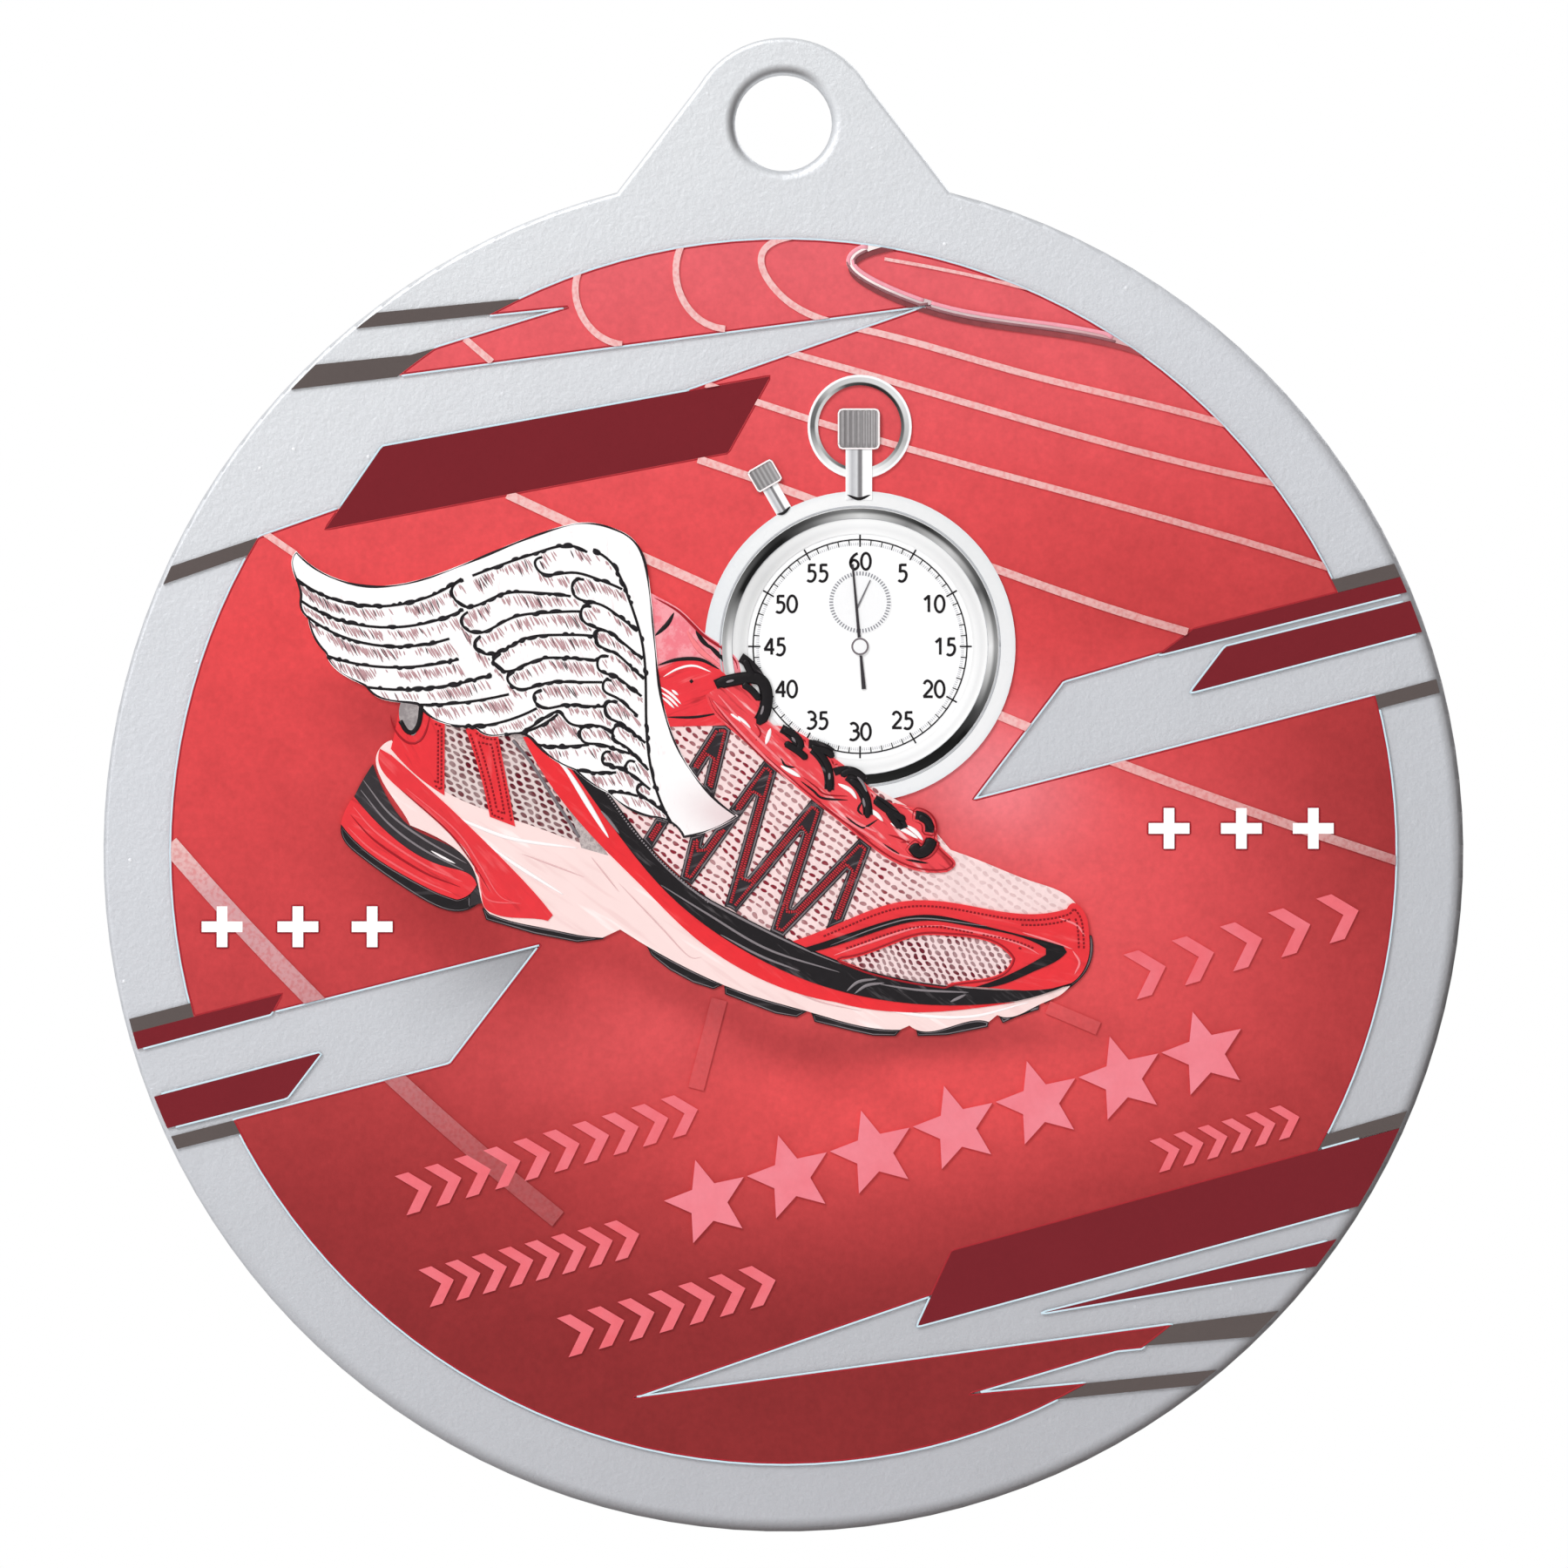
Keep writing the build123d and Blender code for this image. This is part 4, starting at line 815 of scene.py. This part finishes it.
def stitch_row(name, node, runs, ink, slot, length=0.14, gap=0.1, width=0.1):
    """Stitches along lines on a node's face."""
    stitches = [dash for run in runs for dash in dashes(run, length, gap)]
    line_row(name, node, stitches, width, ink, slot, height=0.035, pointed=False)


def line_row(name, node, lines, width, ink, slot, height=0.03, pointed=True, swell=None):
    """Raised lines on a node's face."""
    beads = Beads()
    for line in lines:
        beads.lay(line, width, height, front(node), pointed=pointed, swell=swell)
    beads.build(name, ink)


def lines_on(node, *lines):
    """Smooth lines through points given as shares of a node's box."""
    return [curve([at(node, *point) for point in line]) for line in lines]


def draw(name, node, width, ink, slot, *lines, **options):
    """Raised lines on a node's face, through points given as shares of its box."""
    line_row(name, node, lines_on(node, *lines), width, ink, slot, **options)


# ======================================================== drawing on the wing


def inside(loop, x, z):
    """Whether a point lies inside a closed line."""
    ahead = np.roll(loop, -1, axis=0)
    crossing = (loop[:, 1] > z) != (ahead[:, 1] > z)
    rise = np.where(crossing, ahead[:, 1] - loop[:, 1], 1.0)
    reach = loop[:, 0] + (z - loop[:, 1]) / rise * (ahead[:, 0] - loop[:, 0])
    return bool(np.count_nonzero(crossing & (reach > x)) % 2)


def patchiness(x, z):
    """A slow wave over the wing, so that pen strokes gather in groups."""
    return 0.5 + 0.5 * math.sin(1.7 * x + 2.1 * math.sin(0.9 * z)) * math.cos(1.3 * z - 0.6 * x)


def hatch_wing():
    """Short slanted pen strokes that hang from the lower edges of the feather lines. They end at the next
    line and stay inside the wing."""
    chance = random.Random(17)
    border = max(front_loops("wing"), key=len)
    edges = [evenly(loop, 0.06, closed=True)[:-1] for loop in front_loops("feather_lines")]
    ink = np.vstack(edges)
    brown = Beads()
    dark = Beads()
    for edge in edges:
        outward = -left_of(np.gradient(edge, axis=0))
        for (x, z), (_, down) in zip(edge, outward):
            crowd = patchiness(x, z)
            if down > -0.35 or chance.random() > 0.2 + 0.75 * crowd:
                continue
            slant = chance.uniform(0.35, 0.75)
            length = chance.uniform(0.12, 0.4) + 0.45 * crowd
            lift = chance.uniform(0.0, 0.16)
            steps = np.linspace(0, 1, 9)[:, None]
            stroke = np.array([x, z - 0.02 - lift]) + steps * np.array([slant, -1.0]) * length
            near = gaps_between(stroke[3:], ink) < 0.08
            stroke = stroke[: 3 + int(np.argmax(near))] if near.any() else stroke
            if len(stroke) < 4 or not inside(border, *stroke[-1]) or not inside(border, *stroke[0]):
                continue
            heavy = chance.random() < 0.22 * crowd
            (dark if heavy else brown).lay(stroke[::2], 0.075, 0.012, front("wing"), pointed=True)
    brown.build("wing_hatching", plain_look("brown_pen", (190, 150, 154), 31.0))
    dark.build("wing_dark_hatching", plain_look("dark_pen", (92, 74, 78), 33.0))


def ink_feathers():
    """Blots that make the feather lines run thick and thin."""
    chance = random.Random(29)
    beads = Beads()
    depth = front("feather_lines")
    for loop in front_loops("feather_lines"):
        line = evenly(loop, 0.08, closed=True)[:-1]
        place = 0
        while place < len(line) - 8:
            reach = chance.randint(4, 9)
            if chance.random() < 0.5:
                width = chance.uniform(0.08, 0.2)
                beads.lay(line[place : place + reach], width, 0.02, depth, pointed=True)
            place += reach
    beads.build("feather_line_blots", plain_look("blot_ink", (26, 22, 27), 37.0))


def pen_swell(share):
    """The pen's share of its width by place: thick and thin."""
    return 0.7 + 0.5 * math.sin(37 * share) * math.sin(91 * share)


def outline_wing():
    """The wing's black outline, drawn with a swelling pen."""
    runs = inset_runs(max(front_loops("wing"), key=len), 0.055, spacing=0.12)
    pen = plain_look("outline_pen", (34, 28, 32), 35.0)
    line_row("wing_outline", "wing", runs, 0.13, pen, "black_ink", 0.02, pointed=False, swell=pen_swell)


# ======================================================== trim on the shoe

red_thread = plain_look("dark_red_thread", (138, 14, 28), 41.0)
grey_thread = plain_look("grey_thread", (150, 142, 146), 43.0)
white_gloss = plain_look("white_gloss_line", (253, 246, 246), 45.0, rough=0.25, gloss=0.35, depth=0.03)
pink_gloss = plain_look("pink_gloss_line", (244, 128, 134), 47.0, rough=0.3, gloss=0.3)
black_cord = plain_look("black_cord", (22, 18, 21), 49.0, depth=0.3)
dark_red_line = plain_look("dark_red_line", (160, 22, 34), 51.0)
soft_red_line = plain_look("soft_red_line", (240, 96, 102), 52.0)
soft_pink_line = plain_look("soft_pink_line", (226, 186, 186), 53.0)
grey_gloss = plain_look("grey_gloss_line", (132, 124, 128), 55.0, rough=0.3, gloss=0.3)
mid_grey = plain_look("mid_grey_line", (120, 112, 116), 57.0)


def trim_heel():
    draw("heel_tab_edge", "heel_tab", 0.24, black_cord, "shoe_black",
         [(0.96, 0.9), (0.86, 0.38), (0.6, 0.1), (0.32, 0.15), (0.06, 0.45)], pointed=False)
    draw("collar_seam", "collar_lining", 0.16, mid_grey, "shoe_grey",
         [(0.02, 0.95), (0.2, 0.77), (0.45, 0.46), (0.7, 0.15)], pointed=False)
    draw("heel_clip_streaks", "heel_clip", 0.12, grey_gloss, "shoe_grey",
         [(0.07, 0.89), (0.28, 0.65), (0.55, 0.47), (0.88, 0.3)],
         [(0.05, 0.82), (0.26, 0.59), (0.52, 0.41), (0.86, 0.25)])
    draw("heel_clip_glint", "heel_clip", 0.13, white_gloss, "shoe_grey",
         [(0.6, 0.39), (0.7, 0.34), (0.79, 0.3)])
    draw("heel_cushion_ridges", "heel_cushion", 0.13, soft_red_line, "shoe_red",
         [(0.09, 0.9), (0.27, 0.64), (0.61, 0.34), (0.9, 0.17)],
         [(0.05, 0.7), (0.24, 0.47), (0.58, 0.2), (0.82, 0.06)])
    draw("heel_cushion_grooves", "heel_cushion", 0.12, dark_red_line, "shoe_red",
         [(0.07, 0.82), (0.26, 0.56), (0.6, 0.27), (0.88, 0.12)])
    draw("midsole_wedge_ridges", "midsole_wedge", 0.1, soft_red_line, "shoe_red",
         [(0.16, 0.77), (0.44, 0.53), (0.58, 0.33), (0.69, 0.15), (0.8, 0.1)],
         [(0.57, 0.31), (0.62, 0.13), (0.82, 0.1)])
    draw("midsole_wedge_grooves", "midsole_wedge", 0.09, dark_red_line, "shoe_red",
         [(0.12, 0.77), (0.4, 0.52), (0.55, 0.32), (0.64, 0.17)])


def stitch_heel():
    """Double rows of stitches on the heel, and the seam below its tab."""
    counter_right = at("heel_counter", 0.8, 0)[0]
    counter_top = sheet("heel_counter")[3] - 0.5
    _, _, strap_foot, strap_top = sheet("quarter_straps")
    tab_foot = at("heel_tab", 0, 0.75)[1]

    def on_counter(x, z):
        return x > counter_right and z < counter_top

    def on_strap(x, z):
        return strap_foot + 0.3 < z < strap_top - 0.25

    def below_tab(x, z):
        return z < tab_foot

    for name, node, insets, keep in (
        ("heel_counter_stitching", "heel_counter", (0.16, 0.34), on_counter),
        ("quarter_strap_stitching", "quarter_straps", (0.14, 0.42), on_strap),
    ):
        runs = [run for inset in insets for run in runs_along(node, inset, keep)]
        stitch_row(name, node, runs, red_thread, "shoe_red")
    seam = runs_along("heel_tab", -0.42, below_tab)
    line_row("heel_counter_seam", "heel_counter", seam, 0.12, dark_red_line, "shoe_red")


def trim_sole():
    draw("midsole_streaks", "midsole", 0.08, soft_pink_line, "shoe_pink",
         [(0.21, 0.61), (0.25, 0.575), (0.3, 0.53)],
         [(0.35, 0.51), (0.41, 0.36), (0.45, 0.26), (0.47, 0.255)],
         [(0.31, 0.6), (0.35, 0.48)], [(0.55, 0.2), (0.63, 0.11), (0.7, 0.07)])
    draw("midsole_highlights", "midsole", 0.2, white_gloss, "shoe_pink",
         [(0.15, 0.66), (0.2, 0.575), (0.27, 0.47)], [(0.083, 0.77), (0.14, 0.71), (0.2, 0.66), (0.29, 0.63)],
         [(0.55, 0.28), (0.63, 0.16), (0.75, 0.07), (0.85, 0.05), (0.94, 0.1)])
    draw("side_line_highlight", "midsole_line", 0.3, white_gloss, "shoe_red",
         [(0.07, 0.915), (0.094, 0.865), (0.135, 0.747), (0.174, 0.634)])
    draw("side_rail_glints", "lateral_rail", 0.16, grey_gloss, "shoe_grey",
         [(0.059, 0.825), (0.076, 0.783), (0.096, 0.728)], [(0.554, 0.06), (0.578, 0.1), (0.615, 0.112)],
         [(0.57, 0.05), (0.595, 0.085), (0.63, 0.095)], [(0.763, 0.015), (0.794, 0.046)])
    stitches = lines_on("lateral_rail", [(0.07, 0.9), (0.123, 0.744), (0.192, 0.585), (0.277, 0.434)])
    stitch_row("side_rail_stitching", "lateral_rail", stitches, grey_thread, "shoe_grey", 0.1, width=0.09)
    border = runs_along("lateral_rail", 0.12, lambda x, z: -7.0 < x < 3.0)
    upper_edge = [run for run in border if is_upper(run)] + lines_on(
        "lateral_rail", [(0.18, 0.51), (0.274, 0.387), (0.395, 0.238), (0.54, 0.14)],
        [(0.3, 0.3), (0.38, 0.21), (0.46, 0.145)], [(0.62, 0.09), (0.7, 0.065), (0.8, 0.055)])
    line_row("side_rail_highlight", "lateral_rail", upper_edge, 0.13, grey_gloss, "shoe_grey", height=0.035)
    # Painted highlight: a grey line along the edges of the lugs.
    lugs = runs_along("outsole_lugs", 0.07)
    line_row("outsole_lug_edge_highlights", "outsole_lugs", lugs, 0.06, mid_grey, "shoe_grey", height=0.02)


def trim_toe():
    middle = at("toe_overlay", 0, 0.46)[1]
    borders = [runs_along("toe_overlay", inset, lambda x, z: z > middle) for inset in (0.3, 0.56)]
    seam = [run for border in borders for run in border if is_upper(run)]
    stitch_row("toe_overlay_stitching", "toe_overlay", seam, red_thread, "shoe_red", length=0.13, gap=0.09)
    window = runs_along("toe_mesh", -0.12)
    line_row("toe_window_border", "toe_overlay", window[:1], 0.1, dark_red_line, "shoe_red", pointed=False)
    draw("toe_gloss_streaks", "toe_overlay", 0.13, pink_gloss, "shoe_red",
         [(0.898, 0.8), (0.955, 0.725), (0.985, 0.6)], [(0.774, 0.643), (0.864, 0.55), (0.943, 0.457)],
         [(0.943, 0.44), (0.966, 0.31), (0.949, 0.18)],
         [(0.14, 0.39), (0.26, 0.53), (0.41, 0.69), (0.5, 0.72)],
         [(0.5, 0.72), (0.68, 0.6), (0.78, 0.49), (0.83, 0.4)])
    draw("toe_piping_gloss", "toe_piping", 0.07, grey_gloss, "shoe_grey",
         [(0.1, 0.58), (0.3, 0.85), (0.45, 0.95), (0.7, 0.84)])


def trim_cage():
    """Corded edges and a red core on each support web."""
    cords = runs_along("midfoot_cage", 0.09)
    line_row("cage_cords", "midfoot_cage", cords, 0.09, mid_grey, "shoe_grey", height=0.04)
    core = runs_along("midfoot_cage", 0.27, spacing=0.08)
    core_red = plain_look("core_red", (190, 44, 54), 61.0)
    stitch_row("cage_core_ribs", "midfoot_cage", core, core_red, "shoe_red", length=0.1, gap=0.05, width=0.16)


def rounded_ends(share):
    """A cord's width by its place: full, but for rounded ends."""
    return min(1.0, 0.35 + 9 * min(share, 1 - share))


def trim_laces():
    """Round black cords over the flat laces, with grey glints."""
    cord = {"height": 0.05, "pointed": False, "swell": rounded_ends}
    draw("lace_thick_cords", "laces", 0.62, black_cord, "shoe_black",
         [(0.01, 0.85), (0.1, 0.87), (0.17, 0.88), (0.22, 0.86), (0.24, 0.79), (0.23, 0.71), (0.2, 0.65)],
         [(0.89, 0.06), (0.92, 0.02), (0.96, 0.04), (0.98, 0.09)], **cord)
    draw("lace_cords", "laces", 0.37, black_cord, "shoe_black",
         [(0.14, 0.97), (0.16, 0.92), (0.19, 0.86)], [(0.13, 0.85), (0.17, 0.82), (0.21, 0.77)],
         [(0.31, 0.63), (0.36, 0.6), (0.39, 0.56), (0.38, 0.52)],
         [(0.32, 0.56), (0.35, 0.54), (0.39, 0.51), (0.42, 0.48)],
         [(0.44, 0.53), (0.5, 0.52), (0.54, 0.49)], [(0.44, 0.55), (0.49, 0.49), (0.52, 0.42), (0.52, 0.32)],
         [(0.57, 0.4), (0.62, 0.42), (0.68, 0.38)], [(0.61, 0.38), (0.66, 0.34), (0.69, 0.28), (0.69, 0.19)],
         [(0.72, 0.28), (0.78, 0.23), (0.86, 0.18)], [(0.78, 0.23), (0.81, 0.18), (0.84, 0.14)],
         [(0.92, 0.2), (0.96, 0.17), (0.98, 0.13)], **cord)
    draw("lace_glints", "laces", 0.16, grey_gloss, "shoe_grey",
         [(0.225, 0.75), (0.22, 0.72), (0.21, 0.69)], [(0.05, 0.855), (0.1, 0.87)],
         [(0.35, 0.59), (0.37, 0.56)], [(0.52, 0.42), (0.52, 0.37)],
         [(0.64, 0.4), (0.67, 0.36), (0.69, 0.31)], [(0.67, 0.29), (0.68, 0.24)], height=0.08)


def trim_eyestay():
    lower_edge = [run for run in runs_along("eyestay", 0.14) if not is_upper(run)]
    line_row("eyestay_edge", "eyestay", lower_edge, 0.1, dark_red_line, "shoe_red")
    # Painted highlights: pink lines along the eyestay's edges.
    draw("eyestay_pink_edge_highlights", "eyestay", 0.16, pink_gloss, "shoe_red",
         [(0.03, 0.9), (0.1, 0.79), (0.21, 0.64), (0.31, 0.52), (0.42, 0.41)],
         [(0.43, 0.395), (0.53, 0.3), (0.64, 0.21), (0.76, 0.105), (0.86, 0.065)],
         [(0.05, 0.93), (0.13, 0.81), (0.24, 0.66), (0.34, 0.54)], [(0.56, 0.31), (0.61, 0.26), (0.69, 0.21)])
    draw("eyestay_highlights", "eyestay", 0.24, white_gloss, "shoe_red",
         [(0.1, 0.83), (0.14, 0.8), (0.18, 0.755)], [(0.26, 0.755), (0.25, 0.71), (0.24, 0.67)],
         [(0.3, 0.56), (0.34, 0.53), (0.38, 0.5)], [(0.53, 0.465), (0.58, 0.43), (0.605, 0.385)],
         [(0.64, 0.34), (0.68, 0.31), (0.71, 0.27)], [(0.74, 0.26), (0.8, 0.22), (0.85, 0.18)],
         [(0.8, 0.25), (0.84, 0.215), (0.87, 0.17)])
    draw("eyestay_seams", "eyestay", 0.13, black_cord, "shoe_black",
         [(0.38, 0.48), (0.43, 0.43), (0.47, 0.39), (0.57, 0.38)],
         [(0.56, 0.295), (0.61, 0.245), (0.64, 0.24), (0.69, 0.28)],
         [(0.7, 0.16), (0.74, 0.125), (0.79, 0.085)], [(0.8, 0.07), (0.89, 0.05)],
         [(0.3, 0.6), (0.32, 0.56), (0.36, 0.55)], [(0.63, 0.38), (0.61, 0.33), (0.63, 0.3)])
    draw("eyestay_red_seams", "eyestay", 0.1, dark_red_line, "shoe_red",
         [(0.73, 0.2), (0.78, 0.18), (0.82, 0.15)], [(0.78, 0.16), (0.82, 0.165)],
         [(0.39, 0.5), (0.44, 0.45), (0.48, 0.41), (0.57, 0.4)], [(0.2, 0.78), (0.22, 0.73), (0.2, 0.69)],
         [(0.04, 0.87), (0.11, 0.76), (0.22, 0.61), (0.32, 0.49)], [(0.45, 0.36), (0.55, 0.27), (0.66, 0.17)])


def trim_ankle():
    draw("ankle_flap_highlight", "ankle_flap", 0.13, white_gloss, "shoe_red",
         [(0.08, 0.73), (0.3, 0.85), (0.53, 0.89), (0.78, 0.8)])
    draw("ankle_binding", "ankle_flap", 0.2, black_cord, "shoe_black",
         [(0.0, 0.9), (0.28, 0.98), (0.62, 0.98), (0.9, 0.84)])
    draw("ankle_lower_seam", "ankle_flap", 0.14, black_cord, "shoe_black",
         [(0.13, 0.14), (0.53, 0.14), (0.9, 0.2)])
    draw("ankle_flap_patch", "ankle_flap", 0.15, white_gloss, "shoe_red",
         [(0.04, 0.58), (0.2, 0.47), (0.34, 0.33)], [(0.05, 0.5), (0.18, 0.41), (0.3, 0.29)],
         [(0.06, 0.43), (0.15, 0.36), (0.24, 0.27)], [(0.2, 0.54), (0.3, 0.46)])
    draw("ankle_eyelet", "ankle_flap", 0.24, black_cord, "shoe_black", [(0.46, 0.667), (0.52, 0.662)])
    draw("tongue_dashes", "tongue", 0.24, black_cord, "shoe_black",
         [(0.05, 0.48), (0.185, 0.62), (0.26, 0.76)], [(0.5, 0.54), (0.575, 0.42), (0.67, 0.32)],
         [(0.63, 0.38), (0.76, 0.24), (0.85, 0.13)])
    upper_edge = [run for run in runs_along("tongue", 0.13) if is_upper(run)]
    line_row("tongue_edge", "tongue", upper_edge, 0.16, dark_red_line, "shoe_red")
    draw("tongue_sheen", "tongue", 0.3, pink_gloss, "tongue_pink", [(0.4, 0.54), (0.55, 0.3), (0.78, 0.1)])


# ======================================================== trim on the watch and the ground


def ring(center, radius, count=96):
    """A circle as a closed line."""
    turns = np.linspace(0, 2 * math.pi, count + 1)
    return np.column_stack([center[0] + radius * np.cos(turns), center[1] + radius * np.sin(turns)])


def covers(loops, x, z):
    """Whether a front face with these borders covers a point."""
    return sum(inside(loop, x, z) for loop in loops) % 2 == 1


def trim_knobs():
    """Ribs across the crown, bright rims on both knobs and dark feet on their stems."""
    left, right, foot, top = sheet("crown_knob")
    pitch = 0.27
    margin = 0.12
    count = int((right - left) / pitch) - 1
    places = [(left + right) / 2 + (index - (count - 1) / 2) * pitch for index in range(count)]
    ribs = [evenly([(x, foot + margin), (x, top - margin)], 0.3) for x in places]
    grey = plain_look("crown_rib_grey", (158, 154, 155), 63.0, rough=0.3)
    line_row("crown_ribs", "crown_knob", ribs, 0.16, grey, "knurled_grey", height=0.04, pointed=False)
    rims = [run for node in ("crown_knob", "pusher_knob") for run in runs_along(node, 0.04, spacing=0.2)]
    line_row("knob_rims", "crown_knob", rims, 0.09, white_gloss, "watch_chrome", height=0.02, pointed=False)
    feet = lines_on("crown_stem", [(0.06, 0.1), (0.5, 0.02), (0.94, 0.1)])
    feet += lines_on("pusher_stem", [(0.5, 0.03), (0.72, 0.06), (0.97, 0.27)])
    line_row("stem_feet", "crown_stem", feet, 0.16, black_cord, "black_ink")


def trim_dial():
    """Short ticks for the fifths of each second, where the shoe leaves them free, and a ring on the hub."""
    over_dial = ("eyestay", "laces", "ankle_flap", "tongue", "forefoot_mesh")
    shoe_tops = [loop for node in over_dial for loop in front_loops(node)]
    _, track_right, _, track_top = sheet("minute_track")
    track_radius = max(track_right - dial_center[0], track_top - dial_center[1])
    fifths = []
    for index in range(5 * 60):
        turn = 2 * math.pi * index / (5 * 60)
        way = np.array([math.cos(turn), math.sin(turn)])
        tick = [np.array(dial_center) + way * (track_radius - inset) for inset in (0.55, 0.4)]
        if index % 5 and not any(inside(loop, *tick[0]) for loop in shoe_tops):
            fifths.append(tick)
    grey = plain_look("tick_grey", (208, 208, 213), 71.0)
    line_row("dial_fifth_ticks", "watch_dial", fifths, 0.05, grey, "fine_grey", height=0.008, pointed=False)
    hub = ring(at("hand_hub", 0.5, 0.5), half_width("hand_hub") - 0.06)
    line_row("hub_ring", "hand_hub", [hub], 0.1, mid_grey, "watch_chrome", height=0.015, pointed=False)


def trim_bezel():
    """A fine line on either side of the bezel, where the shoe doesn't cover it."""
    bezel = np.vstack([evenly(loop, 0.1, closed=True) for loop in front_loops("watch_bezel")])
    rings = [ring(dial_center, bezel_radius + reach) for reach in (0.1, -0.48)]
    edges = [run for line in rings for run in split_open(line, gaps_between(line, bezel) < 0.6)]
    grey = plain_look("edge_grey", (186, 188, 192), 65.0)
    line_row("bezel_edges", "watch_flange", edges, 0.1, grey, "watch_chrome", height=0.02, pointed=False)


def trim_ground():
    """A pale line where steel meets a colour, and a dark line around the red ground and each plus mark."""
    field = front_loops("red_field")
    bars = front_loops("maroon_bars") + front_loops("grey_bars")
    depth = front("red_field")

    def on_steel(x, z):
        return not covers(field, x, z) and not covers(bars, x, z) and math.hypot(x, z) < disc_radius - 0.5

    def beside_steel(x, z):
        return not covers(bars, x, z)

    edges = [run for name in ("red_field", "maroon_bars") for run in runs_along(name, -0.05, on_steel, 0.2)]
    pale = plain_look("pale_edge", (206, 228, 238), 67.0, depth=0.05)
    line_row("colour_borders", "red_field", edges, 0.1, pale, "steel", height=0.015, pointed=False)
    dark = Beads()
    for run in runs_along("red_field", 0.05, beside_steel, spacing=0.2):
        dark.lay(run, 0.08, 0.01, depth)
    for run in runs_along("plus_marks", -0.05):
        dark.lay(run, 0.09, 0.03, depth)
    dark.build("dark_red_borders", plain_look("plus_border", (166, 34, 44), 69.0))


def trim_kerb():
    """A dark line along the kerb's lower edge and a pink glow along its upper edge."""
    kerb = front_loops("kerb_band")
    for name, reach, width, ink in (
        ("kerb_foot_shade", 0.2, 0.13, plain_look("kerb_shade", (150, 100, 106), 81.0, depth=0.2)),
        ("kerb_crest_glow", -0.2, 0.2, plain_look("kerb_glow", (240, 160, 174), 83.0, depth=0.08)),
    ):
        edge = runs_along("kerb_band", width / 2, lambda x, z: covers(kerb, x, z + reach), spacing=0.2)
        line_row(name, "kerb_band", edge, width, ink, "lane_white", height=0.02, pointed=False)


# ======================================================== stage, light and camera


def build_floor():
    """A plain pale round floor below the medal."""
    radius = 0.26
    gap = 0.022
    height = cad_box[0][2] - gap
    turns = [2 * math.pi * step / 256 for step in range(256)]
    rim = [(radius * math.cos(turn), radius * math.sin(turn), height) for turn in turns]
    mesh = bpy.data.meshes.new("floor")
    mesh.from_pydata(rim, [], [list(range(len(rim)))])
    floor = bpy.data.objects.new("floor", mesh)
    bpy.context.scene.collection.objects.link(floor)
    look = Look("pale_floor")
    mesh.materials.append(look.finish(look.shaded(linear(240, 240, 240), size=20, depth=0.01), rough=0.8))


def light_world():
    """White behind the medal, and a soft glow around it that is bright at the upper left."""
    world = bpy.data.worlds.new("studio")
    bpy.context.scene.world = world
    world.use_nodes = True
    sky = Nodes(world.node_tree)
    way = sky.node("ShaderNodeTexCoord").outputs["Generated"]
    upper_left = Vector((-0.5, -0.5, 0.7)).normalized()
    toward = sky.node("ShaderNodeVectorMath", {0: way, 1: upper_left}, operation="DOT_PRODUCT")
    strength = sky.scaled(toward.outputs["Value"], 0.34, 0.5)
    glow = sky.node("ShaderNodeBackground", {"Color": (1, 1, 1, 1), "Strength": strength}).outputs[0]
    white = sky.node("ShaderNodeBackground", {"Color": (1, 1, 1, 1)}).outputs[0]
    seen = sky.node("ShaderNodeLightPath").outputs["Is Camera Ray"]
    surface = sky.node("ShaderNodeMixShader", {0: seen, 1: glow, 2: white}).outputs[0]
    sky.node("ShaderNodeOutputWorld", {"Surface": surface})


def place_lamps():
    """A soft key light at the upper left in front, and a weaker one behind that lights the back."""
    for name, place, size, power in (
        ("key", (-0.3, -0.42, 0.38), 0.28, 1.95),
        ("fill", (0.45, 0.4, 0.3), 0.4, 1.3),
    ):
        soft = bpy.data.lights.new(name, "AREA")
        soft.shape = "DISK"
        soft.size = size
        soft.energy = power
        lamp = bpy.data.objects.new(name, soft)
        lamp.location = place
        lamp.rotation_euler = (-lamp.location).to_track_quat("-Z", "Y").to_euler()
        bpy.context.scene.collection.objects.link(lamp)


def place_camera():
    """A long lens looking straight at the front face."""
    lens = bpy.data.cameras.new("camera")
    camera = bpy.data.objects.new("camera", lens)
    bpy.context.scene.collection.objects.link(camera)
    distance = 0.9
    margin = 1.1526  # the picture's width, in widths of the disc
    aside = 0.03 * MM  # how far the camera stands right of and above the middle
    middle = (cad_box[0][2] + cad_box[1][2]) / 2
    camera.location = (aside, -front("red_field") * MM - distance, middle + aside)
    camera.rotation_euler = (math.pi / 2, 0, 0)
    lens.lens = lens.sensor_width * distance / (2 * disc_radius * MM * margin)
    lens.clip_start = 0.05
    bpy.context.scene.camera = camera


paint_ground()
paint_watch()
paint_shoe()
hatch_wing()
ink_feathers()
outline_wing()
stitch_heel()
trim_heel()
trim_sole()
trim_toe()
trim_cage()
trim_eyestay()
trim_laces()
trim_ankle()
trim_knobs()
trim_dial()
trim_bezel()
trim_ground()
trim_kerb()
build_floor()
light_world()
place_lamps()
place_camera()
bpy.context.scene.view_settings.view_transform = "Standard"
